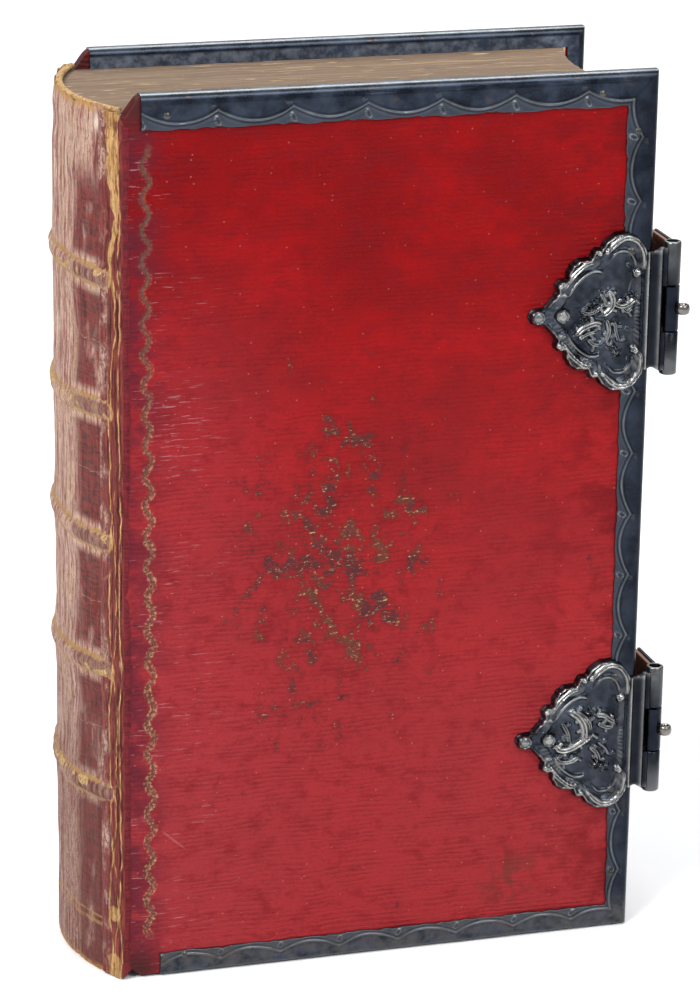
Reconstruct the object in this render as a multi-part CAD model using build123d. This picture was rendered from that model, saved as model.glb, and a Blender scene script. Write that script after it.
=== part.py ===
from build123d import *
import math
import os

# A thick small-octavo bible standing on its tail edge, closed and clasped.
# The book is drawn with x = 0 at the joints, y = 0 at mid thickness and z = 0 at the tail,
# the front cover towards -Y and the fore-edge towards +X. At export it is moved so that the
# origin is the centre of the footprint of its bounding box. Lengths are in millimetres.

# ---- overall sizes -------------------------------------------------------------------
book_height = 190.0
cover_width = 113.0
book_thickness = 49.0
spine_bulge = 7.8

# ---- covers --------------------------------------------------------------------------
board_thickness = 2.4
leather_thickness = 0.6
turn_in_thickness = 0.3
turn_in_width = 15.0
joint_gap = 0.4

# ---- text block and spine ------------------------------------------------------------
square = 4.0
fore_edge_square = 4.5
leaf_clearance = 0.2
flyleaf_inset = 0.2
flyleaf_thickness = 0.25
fore_edge_hollow = 4.0
lining_thickness = 0.5
spine_leather_thickness = 0.9
headcap_wear = 2.6
endband_height = 1.2
endband_width = 1.8

# ---- raised bands --------------------------------------------------------------------
band_heights = [41.5, 68.5, 97.0, 124.5, 152.5]
band_width = 5.6
band_rise = 1.3
band_end_distance = 3.0
cord_half_width = 1.9
cord_cover = 0.7

# ---- edge rails ----------------------------------------------------------------------
rail_wall = 0.45
head_rail_width = 7.5
tail_rail_width = 5.6
fore_rail_width_head = 7.2
fore_rail_width_tail = 5.6
inner_flange_width = 3.7
head_rail_inset = 4.2
tail_rail_inset = 8.0
rail_edge_radius = 1.4
scallop_depth = 1.0
scallop_pitch_head = 14.9
scallop_pitch_tail = 13.4
scallop_pitch_fore = 13.4
nail_radius = 0.45
nail_head_radius = 0.85
nail_head_height = 0.35
nail_depth = 2.0
nail_end_distance = 5.2
nail_corner_distance = 12.5
nail_edge_distance = 4.3

# ---- clasps --------------------------------------------------------------------------
clasp_heights = {"lower": 45.5, "upper": 139.5}
plate_thickness = 0.55
plate_step_gap = 0.1
boss_rise = 1.2
boss_scale = 0.78
boss_setback = 0.6
strip_thickness = 0.9
strip_inner_lap = 0.5
strip_bead_width = 1.6
strip_bead_slope = 0.8
strip_edge_wrap = 0.6
strip_overlap = 1.6
strip_half_height = 12.6
barrel_height = 28.6
barrel_radius = 1.85
barrel_offset = 4.4
barrel_proud = 0.15
barrel_web = 1.3
barrel_mouth_radius = 1.25
barrel_mouth_depth = 2.5
pin_radius = 0.8
pin_seat_fit = 0.02
hinge_fit = 0.05
catch_gap_height = 10.0
catch_pin_length = 19.0
hook_clearance = 0.3
slot_behind_hook = 0.8
knuckle_gap_height = 13.6
strap_thickness = 1.5
strap_height = 27.0
strap_inset = 0.6
fitting_thickness = 0.6
hook_plate_length = 11.0
hook_rivet_distance = 6.0
hinge_plate_length = 9.0
hinge_rivet_distance = 5.0
fitting_neck_inset = 0.55
ring_major_radius = 1.05
ring_minor_radius = 0.45
ring_sink = 0.1
ring_angle = 42.0
rivet_radius = 0.5
rivet_head_radius = 1.1
rivet_head_height = 0.45
rivet_end_gap = 0.2
plate_rivet_distance = 3.4
plate_rivet_spacing = 25.6
strap_rivet_head_radius = 0.9
strap_rivet_spacing = 16.0

# Outline of a corner-pointed cartouche plate: u runs from its straight edge towards its
# point and v across it. The body is a polygon, and each lobe is a disc (u, v, radius).
plate_body = [(0, 13.6), (8.5, 15.0), (12.0, 11.5), (17.0, 8.0), (22.5, 1.5)]
plate_tip = (23.65, 0.0, 1.85)
plate_lobes = [(18.9, 7.0, 1.2), (13.2, 8.1, 4.0), (11.4, 13.0, 1.4), (5.4, 12.0, 5.2)]

# ---- worked out from the sizes above -------------------------------------------------
half = book_thickness / 2
leather_y = half - rail_wall
board_outer_y = leather_y - leather_thickness
board_inner_y = board_outer_y - board_thickness
cover_inner_y = board_inner_y - turn_in_thickness
rail_inner_y = cover_inner_y - rail_wall
flyleaf_outer_y = cover_inner_y - leaf_clearance
flyleaf_inner_y = flyleaf_outer_y - flyleaf_thickness
text_half = flyleaf_inner_y - leaf_clearance
cover_right = cover_width - rail_wall
cover_bottom = rail_wall
cover_top = book_height - rail_wall
board_right = cover_right - leather_thickness
board_bottom = cover_bottom + leather_thickness
board_top = cover_top - leather_thickness
pastedown_right = cover_right - turn_in_width
pastedown_bottom = cover_bottom + turn_in_width
pastedown_top = cover_top - turn_in_width
text_right = cover_width - fore_edge_square
text_bottom = square
text_top = book_height - square
spine_top = book_height - headcap_wear
spine_radius = (leather_y ** 2 + spine_bulge ** 2) / (2 * spine_bulge)
spine_centre_x = spine_radius - spine_bulge
cord_rise = band_rise - cord_cover
plate_right = cover_width - strip_overlap
plate_y = half + plate_thickness
strip_y = half + strip_thickness
barrel_x = cover_width + barrel_offset
barrel_y = strip_y + barrel_proud - barrel_radius
pin_seat_radius = pin_radius + pin_seat_fit
hook_bore_radius = pin_radius + hook_clearance
hook_height = catch_gap_height - 2 * hook_clearance
knuckle_height = knuckle_gap_height - 2 * hook_clearance
strap_inner_x = barrel_x - strap_inset
strap_outer_x = strap_inner_x + strap_thickness
fitting_outer_x = strap_outer_x + fitting_thickness
strap_reach = barrel_y - barrel_radius - hook_clearance
ring_distance = barrel_radius - ring_sink + ring_major_radius
ring_reach = ring_major_radius + ring_minor_radius
ring_x = barrel_x + ring_distance * math.cos(math.radians(ring_angle))
ring_y = -barrel_y - ring_distance * math.sin(math.radians(ring_angle))
middle_x = (ring_x + ring_reach - spine_bulge - band_rise) / 2
middle_y = (ring_y - ring_reach + plate_y + boss_rise) / 2
far = 2 * book_height
cut_margin = 1.0


# ---- small shapes --------------------------------------------------------------------
def box(x0, x1, y0, y1, z0, z1):
    """A box between two corners."""
    middle = ((x0 + x1) / 2, (y0 + y1) / 2, (z0 + z1) / 2)
    return Pos(*middle) * Box(abs(x1 - x0), abs(y1 - y0), abs(z1 - z0))


def pillar(x, y, radius, z0, z1):
    """A cylinder parallel to Z."""
    return Pos(x, y, (z0 + z1) / 2) * Cylinder(radius, z1 - z0)


def dome(radius, height):
    """A low round head standing on the XY plane."""
    ball_radius = (radius ** 2 + height ** 2) / (2 * height)
    ball = Pos(0, 0, height - ball_radius) * Sphere(ball_radius)
    return ball & (Pos(0, 0, height) * Box(3 * radius, 3 * radius, 2 * height))


def domed_pin(head_radius, head_height, shank_radius, shank_length):
    """A nail or rivet with its head above the XY plane and its shank below it."""
    shank = Pos(0, 0, -shank_length / 2) * Cylinder(shank_radius, shank_length)
    return dome(head_radius, head_height) + shank


def solids_of(shapes):
    """One group holding the separate solids of several shapes."""
    return Compound(children=[solid for shape in shapes for solid in shape.solids()])


def drilled(shape, pins):
    """A piece with a hole for each of the pins that pass through it."""
    for pin in pins.solids():
        shape = shape - pin
    return shape


def to_back(shape):
    """The mirrored piece of the back cover."""
    return mirror(shape, about=Plane.XZ)


# ---- text block and spine ------------------------------------------------------------
def spine_segment(inset, z0, z1):
    """The rounded side of the spine behind the joints, inset from its outer face."""
    full = pillar(spine_centre_x, 0, spine_radius - inset, z0, z1)
    return full & box(-far, 0, -half, half, z0, z1)


def spine_shell(outer_inset, thickness, z0, z1):
    """A curved sheet that follows the rounded spine."""
    inner = spine_segment(outer_inset + thickness, z0 - cut_margin, z1 + cut_margin)
    return spine_segment(outer_inset, z0, z1) - inner


def text_block():
    """The sewn leaves, rounded at the spine and hollowed to match at the fore-edge."""
    leaves = box(0, text_right, -text_half, text_half, text_bottom, text_top)
    rounded = spine_segment(spine_leather_thickness + lining_thickness, text_bottom, text_top)
    hollow_radius = (text_half ** 2 + fore_edge_hollow ** 2) / (2 * fore_edge_hollow)
    hollow_x = text_right - fore_edge_hollow + hollow_radius
    hollow = pillar(hollow_x, 0, hollow_radius, text_bottom - cut_margin, text_top + cut_margin)
    return leaves + rounded - hollow


def spine_lining():
    """The paper and glue between the leaves and the spine leather."""
    return spine_shell(spine_leather_thickness, lining_thickness, text_bottom, text_top)


def spine_rib(z, half_width, root_inset, rise):
    """A rounded rib lying across the spine at one height."""
    foot = spine_radius - root_inset
    low = (foot, z - half_width)
    high = (foot, z + half_width)
    crest = (spine_radius + rise, z)
    outline = ThreePointArc(low, crest, high) + Line(high, low)
    section = Plane.XZ * make_face(outline)
    ring = Pos(spine_centre_x, 0, 0) * revolve(section, Axis.Z, 360)
    reach = leather_y - band_end_distance
    return ring & box(-far, -joint_gap, -reach, reach, z - band_width, z + band_width)


def sewing_cord(z):
    """A cord that the gatherings are sewn on, lying on the spine lining."""
    return spine_rib(z, cord_half_width, spine_leather_thickness, cord_rise)


def spine_leather():
    """The leather skin of the spine, raised over each cord."""
    skin = spine_shell(0, spine_leather_thickness, 0, spine_top)
    for z in band_heights:
        skin = skin + spine_rib(z, band_width / 2, spine_leather_thickness / 2, band_rise)
    for z in band_heights:
        skin = skin - sewing_cord(z)
    return skin


def endband(z0):
    """A sewn roll along one end of the leaves, under the spine leather."""
    return spine_shell(spine_leather_thickness, endband_width, z0, z0 + endband_height)


def flyleaf():
    """The free endpaper between the front cover and the leaves."""
    y0 = -flyleaf_outer_y
    y1 = -flyleaf_inner_y
    z0 = text_bottom + flyleaf_inset
    z1 = text_top - flyleaf_inset
    return box(joint_gap, text_right - flyleaf_inset, y0, y1, z0, z1)


# ---- a cover, drawn as the front one -------------------------------------------------
def board():
    """The pasteboard of the cover."""
    return box(joint_gap, board_right, -board_outer_y, -board_inner_y, board_bottom, board_top)


def pastedown():
    """The paper pasted inside the cover, level with the turned-in leather."""
    y0 = -board_inner_y
    y1 = -cover_inner_y
    return box(joint_gap, pastedown_right, y0, y1, pastedown_bottom, pastedown_top)


def cover_leather():
    """The leather around the board, turned in at the head, fore-edge and tail."""
    wrap = box(joint_gap, cover_right, -leather_y, -cover_inner_y, cover_bottom, cover_top)
    return wrap - board() - pastedown()


def flange_cutter(length, width_start, width_end, pitch):
    """What is cut from an outer flange to leave arcs that bulge inwards on the cover."""
    count = max(1, round(length / pitch))
    step = length / count
    points = []
    for index in range(count + 1):
        share = index / count
        width = width_start + (width_end - width_start) * share
        points.append((index * step, width - scallop_depth))
    outline = Line((length, points[-1][1]), (length, far)) + Line((length, far), (0, far))
    outline = outline + Line((0, far), points[0])
    for start, end in zip(points, points[1:]):
        crest = ((start[0] + end[0]) / 2, (start[1] + end[1]) / 2 + scallop_depth)
        outline = outline + ThreePointArc(start, crest, end)
    return extrude(Plane.XZ.offset(leather_y) * make_face(outline), amount=2 * rail_wall)


def mitre_cutter(width):
    """A wedge that cuts the start of a rail to 45 degrees."""
    outline = Polyline((0, 0), (0, 2 * width), (2 * width, 2 * width), close=True)
    return extrude(Plane.XZ * make_face(outline), amount=far, both=True)


def rail(length, width_start, width_end, pitch, mitred_start):
    """A channel along +X, closed at z = 0, that grips a cover edge; its end is mitred.

    The scalloped outer flange is towards -Y and the narrow plain one is inside the cover."""
    width = max(width_start, width_end)
    section = Rectangle(half - rail_inner_y, width)
    section = fillet(section.vertices().group_by(Axis.Y)[0], rail_edge_radius)
    section = Pos(-(half + rail_inner_y) / 2, width / 2) * section
    channel = extrude(Plane.YZ * section, amount=length)
    x0 = -cut_margin
    x1 = length + cut_margin
    channel = channel - box(x0, x1, -leather_y, -cover_inner_y, rail_wall, far)
    channel = channel - box(x0, x1, -cover_inner_y, 0, inner_flange_width, far)
    channel = channel - flange_cutter(length, width_start, width_end, pitch)
    channel = channel - Pos(length, 0, 0) * mirror(mitre_cutter(width), about=Plane.YZ)
    if mitred_start:
        channel = channel - mitre_cutter(width)
    return channel


def stand_up(shape):
    """Turn a piece drawn along +X, closed at z = 0, so that it closes the fore-edge."""
    return Pos(cover_width, 0, 0) * Rot(0, -90, 0) * shape


def turn_over(shape):
    """Turn a piece of the tail edge into one of the head edge."""
    return Pos(0, 0, book_height) * mirror(shape, about=Plane.XY)


def tail_rail():
    """The rail of the cover's tail edge."""
    length = cover_width - tail_rail_inset
    plain = rail(length, tail_rail_width, tail_rail_width, scallop_pitch_tail, False)
    return Pos(tail_rail_inset, 0, 0) * plain


def head_rail():
    """The rail of the cover's head edge."""
    length = cover_width - head_rail_inset
    plain = rail(length, head_rail_width, head_rail_width, scallop_pitch_head, False)
    return turn_over(Pos(head_rail_inset, 0, 0) * plain)


def fore_edge_rail():
    """The rail of the cover's fore-edge, mitred at both ends."""
    start = fore_rail_width_tail
    return stand_up(rail(book_height, start, fore_rail_width_head, scallop_pitch_fore, True))


def nail_places():
    """Where the rail nails go: x and z on the cover's face."""
    edge = nail_edge_distance
    corner = nail_corner_distance
    places = [(head_rail_inset + nail_end_distance, book_height - edge)]
    places.append((cover_width - corner, book_height - edge))
    places.append((tail_rail_inset + nail_end_distance, edge))
    places.append((cover_width - corner, edge))
    places.append((cover_width - edge, book_height - corner))
    places.append((cover_width - edge, corner))
    return places


def rail_nails():
    """Small domed nails through the rails into the board."""
    nail = Rot(90, 0, 0) * domed_pin(nail_head_radius, nail_head_height, nail_radius, nail_depth)
    return solids_of([Pos(x, -half, z) * nail for x, z in nail_places()])


# ---- clasp plates, drawn on the front cover ------------------------------------------
def cartouche(scale):
    """The outline of a clasp plate: a pointed shield with small lobes."""
    upper = [(-u, v) for u, v in plate_body]
    lower = [(-u, -v) for u, v in reversed(plate_body)]
    shape = make_face(Polyline(*upper, *lower, close=True))
    tip_u, tip_v, tip_radius = plate_tip
    shape = shape + Pos(-tip_u, tip_v) * Circle(tip_radius)
    for u, v, radius in plate_lobes:
        shape = shape + Pos(-u, v) * Circle(radius) + Pos(-u, -v) * Circle(radius)
    middle_u = tip_u / 2
    return Pos(-middle_u * (1 - scale), 0) * shape.scale(scale)


def plate_blank(z):
    """A cartouche plate that lies on the leather and steps over the fore-edge rail."""
    outline = Pos(plate_right, z) * cartouche(1.0)
    base = extrude(Plane.XZ.offset(leather_y) * outline, amount=plate_y - leather_y)
    raised = Pos(plate_right - boss_setback, z) * cartouche(boss_scale)
    boss = extrude(Plane.XZ.offset(plate_y) * raised, amount=boss_rise)
    rail_x = cover_width - fore_rail_width_head - plate_step_gap
    return base + boss - box(rail_x, far, -half, -leather_y, z - far, z + far)


def strip_and_barrel(z, gap_height):
    """The moulded strip and tube along the plate's edge, with a gap in the tube's middle."""
    inner_x = plate_right - strip_inner_lap
    bead_x = inner_x + strip_bead_width
    outer_x = barrel_x - barrel_web
    section = Polyline(
        (inner_x, -half),
        (inner_x, -strip_y),
        (bead_x, -strip_y),
        (bead_x + strip_bead_slope, -strip_y + strip_thickness / 2),
        (outer_x, -strip_y + strip_thickness / 3),
        (barrel_x, -barrel_y),
        (outer_x, -barrel_y),
        (cover_width + strip_edge_wrap, -half),
        close=True,
    )
    strip = extrude(make_face(section), amount=strip_half_height, both=True)
    tube = Cylinder(barrel_radius, barrel_height)
    piece = Pos(0, 0, z) * (strip + Pos(barrel_x, -barrel_y, 0) * tube)
    low = z - barrel_height / 2
    high = z + barrel_height / 2
    seat_low = low - cut_margin
    seat_high = high + cut_margin
    piece = piece - pillar(barrel_x, -barrel_y, pin_seat_radius, seat_low, seat_high)
    for mouth in (low, high):
        z0 = mouth - barrel_mouth_depth
        z1 = mouth + barrel_mouth_depth
        piece = piece - pillar(barrel_x, -barrel_y, barrel_mouth_radius, z0, z1)
    gap_x = barrel_x - barrel_radius - slot_behind_hook
    gap = box(gap_x, far, -far, 0, z - gap_height / 2, z + gap_height / 2)
    return piece - gap


def rivet_places(z):
    """Where a clasp plate's rivets go: x, z and the height of the face under the head."""
    tip = (plate_right - plate_tip[0], z, plate_y)
    inner_x = plate_right - plate_rivet_distance
    spread = plate_rivet_spacing / 2
    return [tip, (inner_x, z - spread, plate_y), (inner_x, z + spread, plate_y)]


def plate_rivets(z):
    """Domed rivets that hold one clasp plate through the cover."""
    rivets = []
    for x, height, face in rivet_places(z):
        length = face - board_inner_y - rivet_end_gap
        rivet = domed_pin(rivet_head_radius, rivet_head_height, rivet_radius, length)
        rivets.append(Pos(x, -face, height) * Rot(90, 0, 0) * rivet)
    return solids_of(rivets)


def catch_plate(z):
    """The front plate of a clasp, whose tube is open in the middle for the hook."""
    return plate_blank(z) + strip_and_barrel(z, catch_gap_height)


def hinge_plate(z):
    """The back plate of a clasp, drawn on the front: its tube is two hinge knuckles."""
    return plate_blank(z) + strip_and_barrel(z, knuckle_gap_height)


def catch_pin(z):
    """The pin across the middle of the catch plate's tube, which the hook grips."""
    return pillar(barrel_x, -barrel_y, pin_radius, z - catch_pin_length / 2, z + catch_pin_length / 2)


def hinge_pin(z):
    """The pin through the knuckles of the back plate and of the clasp arm."""
    reach = barrel_height / 2 - barrel_mouth_depth
    return pillar(barrel_x, barrel_y, pin_radius, z - reach, z + reach)


# ---- clasp arm -----------------------------------------------------------------------
def strap_places(z, side):
    """Where the rivets of one strap fitting go: y and z. side is -1 at the hook."""
    distance = hook_rivet_distance if side < 0 else hinge_rivet_distance
    y = side * (strap_reach - distance)
    return [(y, z - strap_rivet_spacing / 2), (y, z + strap_rivet_spacing / 2)]


def strap_rivet_blank(y, z):
    """A rivet through a fitting and the strap."""
    length = fitting_thickness + strap_thickness
    rivet = domed_pin(strap_rivet_head_radius, rivet_head_height, rivet_radius, length)
    return Pos(fitting_outer_x, y, z) * Rot(0, 90, 0) * rivet


def strap_rivets(z):
    """The four rivets that hold both fittings to the strap."""
    places = strap_places(z, -1) + strap_places(z, 1)
    return solids_of([strap_rivet_blank(y, height) for y, height in places])


def strap(z):
    """The leather strap that spans the fore-edge."""
    low = z - strap_height / 2
    high = z + strap_height / 2
    body = box(strap_inner_x, strap_outer_x, -strap_reach, strap_reach, low, high)
    return drilled(body, strap_rivets(z))


def fitting(z, side, length, neck_height):
    """A metal plate on one end of the strap with a neck that reaches the barrel's line."""
    inner_y = side * (strap_reach - length)
    outer_y = side * strap_reach
    low = z - strap_height / 2
    high = z + strap_height / 2
    plate = box(strap_outer_x, fitting_outer_x, inner_y, outer_y, low, high)
    neck_low = z - neck_height / 2
    neck_high = z + neck_height / 2
    neck_x = barrel_x + fitting_neck_inset
    neck = box(neck_x, fitting_outer_x, outer_y, side * barrel_y, neck_low, neck_high)
    return plate + neck


def hook(z):
    """The clasp's catch: a slotted roll that slides over the pin from outside."""
    roll = pillar(barrel_x, -barrel_y, barrel_radius, z - hook_height / 2, z + hook_height / 2)
    piece = fitting(z, -1, hook_plate_length, hook_height) + roll
    piece = piece - pillar(barrel_x, -barrel_y, hook_bore_radius, z - far, z + far)
    mouth_y = hook_bore_radius
    mouth = box(0, barrel_x, -barrel_y - mouth_y, -barrel_y + mouth_y, z - far, z + far)
    return drilled(piece - mouth - thumb_ring(z), strap_rivets(z))


def thumb_ring(z):
    """The small loop on the hook by which the clasp is pulled open."""
    return Pos(ring_x, ring_y, z) * Torus(ring_major_radius, ring_minor_radius)


def arm_knuckle(z):
    """The clasp arm's hinge knuckle with its plate on the strap."""
    roll = pillar(barrel_x, barrel_y, barrel_radius, z - knuckle_height / 2, z + knuckle_height / 2)
    piece = fitting(z, 1, hinge_plate_length, knuckle_height) + roll
    piece = piece - pillar(barrel_x, barrel_y, pin_radius + hinge_fit, z - far, z + far)
    return drilled(piece, strap_rivets(z))


# ---- the whole book ------------------------------------------------------------------
def cover_nodes(side):
    """The pieces of one cover by name, for the front or the back."""
    place = to_back if side == "back" else (lambda shape: shape)
    plate_name = "hinge_plate" if side == "back" else "catch_plate"
    plate = hinge_plate if side == "back" else catch_plate
    nails = rail_nails()
    rivets = solids_of([plate_rivets(z) for z in clasp_heights.values()])
    fasteners = solids_of([nails, rivets])
    nodes = {
        "board": drilled(board(), fasteners),
        "cover_leather": drilled(cover_leather(), fasteners),
        "pastedown": pastedown(),
        "head_rail": drilled(head_rail(), nails),
        "fore_edge_rail": drilled(fore_edge_rail(), fasteners),
        "tail_rail": drilled(tail_rail(), nails),
        "rail_nails": nails,
        "plate_rivets": rivets,
    }
    nodes = {f"{side}_{name}": place(shape) for name, shape in nodes.items()}
    for level, z in clasp_heights.items():
        nodes[f"{level}_{plate_name}"] = place(drilled(plate(z), plate_rivets(z)))
    return nodes


def clasp_nodes(level, z):
    """The pins and the arm of one clasp by name."""
    return {
        f"{level}_catch_pin": catch_pin(z),
        f"{level}_hinge_pin": hinge_pin(z),
        f"{level}_strap": strap(z),
        f"{level}_hook": hook(z),
        f"{level}_arm_knuckle": arm_knuckle(z),
        f"{level}_thumb_ring": thumb_ring(z),
        f"{level}_strap_rivets": strap_rivets(z),
    }


def all_nodes():
    """Every piece of the book by name."""
    nodes = {
        "text_block": text_block(),
        "spine_lining": spine_lining(),
        "sewing_cords": solids_of([sewing_cord(z) for z in band_heights]),
        "spine_leather": spine_leather(),
        "headband": endband(text_top),
        "tailband": endband(text_bottom - endband_height),
        "front_flyleaf": flyleaf(),
        "back_flyleaf": to_back(flyleaf()),
    }
    nodes.update(cover_nodes("front"))
    nodes.update(cover_nodes("back"))
    for level, z in clasp_heights.items():
        nodes.update(clasp_nodes(level, z))
    return nodes


os.makedirs("parts", exist_ok=True)
for name, shape in all_nodes().items():
    export_step(Pos(-middle_x, -middle_y, 0) * shape, f"parts/{name}.step")

axes = {
    "cover hinges": (0, leather_y),
    "flyleaf hinges": (joint_gap, (flyleaf_outer_y + flyleaf_inner_y) / 2),
    "clasp hinges": (barrel_x, barrel_y),
}
for name, (x, y) in axes.items():
    print(f"{name}: x {x - middle_x:.4f}, y {y - middle_y:.4f} and {-y - middle_y:.4f}")
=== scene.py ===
import math
from functools import reduce

import bpy
import numpy as np
from mathutils import Matrix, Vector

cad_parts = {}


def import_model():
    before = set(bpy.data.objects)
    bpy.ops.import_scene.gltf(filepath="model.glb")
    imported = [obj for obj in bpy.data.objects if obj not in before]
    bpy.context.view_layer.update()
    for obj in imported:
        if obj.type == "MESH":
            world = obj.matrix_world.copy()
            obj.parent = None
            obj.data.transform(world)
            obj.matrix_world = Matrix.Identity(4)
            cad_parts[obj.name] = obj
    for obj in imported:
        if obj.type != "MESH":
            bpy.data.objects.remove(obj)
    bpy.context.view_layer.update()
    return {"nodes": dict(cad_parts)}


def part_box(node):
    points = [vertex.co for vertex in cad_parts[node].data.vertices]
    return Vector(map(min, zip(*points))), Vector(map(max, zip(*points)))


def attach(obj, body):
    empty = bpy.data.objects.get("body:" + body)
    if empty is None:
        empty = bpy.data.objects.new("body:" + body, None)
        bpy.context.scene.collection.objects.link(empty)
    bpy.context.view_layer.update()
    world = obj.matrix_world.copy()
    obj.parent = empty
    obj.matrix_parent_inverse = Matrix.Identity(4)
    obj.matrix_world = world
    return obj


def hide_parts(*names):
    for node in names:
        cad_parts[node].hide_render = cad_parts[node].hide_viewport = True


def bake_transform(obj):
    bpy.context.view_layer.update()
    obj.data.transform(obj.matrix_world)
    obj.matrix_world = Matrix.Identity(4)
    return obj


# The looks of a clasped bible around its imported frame. Shapes are worked out in the book's own
# millimetres: x = 0 at the joints, y = 0 at mid thickness, z = 0 at the tail, the front cover
# towards -Y. Pieces are drawn for the front cover and mirrored in Y for the back one.

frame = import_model()

MM = 0.001


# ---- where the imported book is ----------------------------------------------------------
def corners(node):
    """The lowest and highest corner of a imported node, in row-frame millimetres."""
    low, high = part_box(node)
    return np.array(low) / MM, np.array(high) / MM


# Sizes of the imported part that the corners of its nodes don't give are repeated here.
JOINT_GAP = 0.4
front_low, front_high = corners("front_cover_leather")
_, back_high = corners("back_cover_leather")
rail_low, rail_high = corners("front_fore_edge_rail")
ORIGIN = np.array([front_low[0] - JOINT_GAP, (front_low[1] + back_high[1]) / 2, 0.0])


def book_box(node):
    """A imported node's corners in the book's own millimetres."""
    low, high = corners(node)
    return low - ORIGIN, high - ORIGIN


HEIGHT = rail_high[2]
COVER_WIDTH = rail_high[0] - ORIGIN[0]
HALF = -(rail_low[1] - ORIGIN[1])
LEATHER_Y = -(front_low[1] - ORIGIN[1])
COVER_RIGHT = front_high[0] - ORIGIN[0]
COVER_BOTTOM = front_low[2]
COVER_TOP = front_high[2]
INNER_Y = -(front_high[1] - ORIGIN[1])
RAIL_WALL = 0.45
BOARD_LOW, BOARD_HIGH = book_box("front_board")
PASTE_LOW, PASTE_HIGH = book_box("front_pastedown")
TEXT_LOW, TEXT_HIGH = book_box("text_block")
PAPER_BED = 0.6
SPINE_LOW, SPINE_HIGH = book_box("spine_leather")
FLY_LOW, FLY_HIGH = book_box("front_flyleaf")
BAND_RISE = 1.3
SPINE_BULGE = -SPINE_LOW[0] - BAND_RISE
SPINE_RADIUS = (LEATHER_Y ** 2 + SPINE_BULGE ** 2) / (2 * SPINE_BULGE)
SPINE_CENTRE = SPINE_RADIUS - SPINE_BULGE
SPINE_SKIN = 0.9
SPINE_ARC = SPINE_RADIUS * math.asin(LEATHER_Y / SPINE_RADIUS)
SPINE_TOP = SPINE_HIGH[2]
LINING = 0.5
BANDS = [41.5, 68.5, 97.0, 124.5, 152.5]
HOLLOW = 4.0
PIN_LOW, PIN_HIGH = book_box("upper_catch_pin")
BARREL_X = (PIN_LOW[0] + PIN_HIGH[0]) / 2
BARREL_Y = -(PIN_LOW[1] + PIN_HIGH[1]) / 2
BARREL_RADIUS = 1.85
BARREL_HALF = 14.3
CATCH_GAP = 5.0
KNUCKLE_GAP = 6.8
# The height of each clasp's middle.
CLASPS = {level: sum(book_box(f"{level}_catch_pin"))[2] / 2 for level in ("lower", "upper")}


# ---- small mathematics -----------------------------------------------------------------
def smooth(low, high, value):
    """0 below low, 1 above high and a smooth step between them."""
    t = np.clip((value - low) / (high - low), 0, 1)
    return t * t * (3 - 2 * t)


def bump(distance, width):
    """A round ridge of height 1 and the given half width."""
    return np.exp(-(distance / width) ** 2)


def lumps(a, b, size, seed, count=14):
    """Soft irregular waves of about the given size over two coordinates, within about -1 to 1."""
    rng = np.random.default_rng(seed)
    total = np.zeros(np.broadcast(a, b).shape)
    for _ in range(count):
        angle = rng.uniform(0, 2 * math.pi)
        step = 2 * math.pi / (size * rng.uniform(0.6, 1.9))
        phase = rng.uniform(0, 2 * math.pi)
        total = total + np.sin((a * math.cos(angle) + b * math.sin(angle)) * step + phase)
    return total / math.sqrt(count)


def random_line(at, spacing, seed):
    """A jagged random value along one coordinate, in steps of the given spacing."""
    rng = np.random.default_rng(seed)
    knots = np.arange(-300, 600)
    return np.interp(at / spacing, knots, rng.uniform(-1, 1, len(knots)))


def steps(*stops):
    """Rising numbers from (start, spacing), (start, spacing), ..., end."""
    parts = []
    for (start, spacing), following in zip(stops[:-1], stops[1:]):
        end = following[0] if isinstance(following, tuple) else following
        count = max(1, round((end - start) / spacing))
        parts.append(np.linspace(start, end, count, endpoint=False))
    return np.concatenate(parts + [[stops[-1]]])


# ---- mesh building ---------------------------------------------------------------------
def full_turn(count):
    """Evenly spaced angles round a circle."""
    return np.linspace(0, 2 * math.pi, count, endpoint=False)


def ring_quads(index):
    """Quads between each closed ring of point numbers and the next ring."""
    after = np.roll(index, -1, 1)
    return np.stack([index[:-1], after[:-1], after[1:], index[1:]], -1).reshape(-1, 4)


def lattice(us, vs, place, ws=(0.0, 1.0)):
    """A closed block of quads: a grid of u, v and w whose outside is bent into shape by place."""
    size = (len(us), len(vs), len(ws))
    shell = np.zeros(size, bool)
    sides = []
    for axis in range(3):
        for end in (0, -1):
            sides.append((axis, end, tuple(end if a == axis else slice(None) for a in range(3))))
    for _, _, side in sides:
        shell[side] = True
    index = np.full(size, -1)
    index[shell] = np.arange(shell.sum())
    u, v, w = (grid[shell] for grid in np.meshgrid(us, vs, ws, indexing="ij"))
    points, fields = place(u, v, w)
    quads = []
    for axis, end, side in sides:
        face = index[side]
        ring = [face[:-1, :-1], face[1:, :-1], face[1:, 1:], face[:-1, 1:]]
        if (end == 0) != (axis == 1):
            ring.reverse()
        quads.append(np.stack(ring, -1).reshape(-1, 4))
    return np.stack(points, -1), np.concatenate(quads), fields


def lathe(profile, x, y, segments=40):
    """A solid of revolution about a line parallel to Z, from (radius, z) points."""
    angle = full_turn(segments)
    radius, z = (np.array(values, float) for values in zip(*profile))
    px = x + radius[:, None] * np.cos(angle)
    py = y + radius[:, None] * np.sin(angle)
    pz = np.repeat(z[:, None], segments, 1)
    points = np.stack([px, py, pz], -1).reshape(-1, 3)
    index = np.arange(len(points)).reshape(len(profile), segments)
    return points, ring_quads(index), {}


def turned_out(points, faces):
    """The faces with their normals outwards, by the sign of the enclosed volume."""
    a, b, c, d = (points[faces[:, k]] for k in range(4))
    volume = np.einsum("ij,ij->i", a, np.cross(b, c) + np.cross(c, d)).sum()
    return faces[:, ::-1] if volume < 0 else faces


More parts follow.
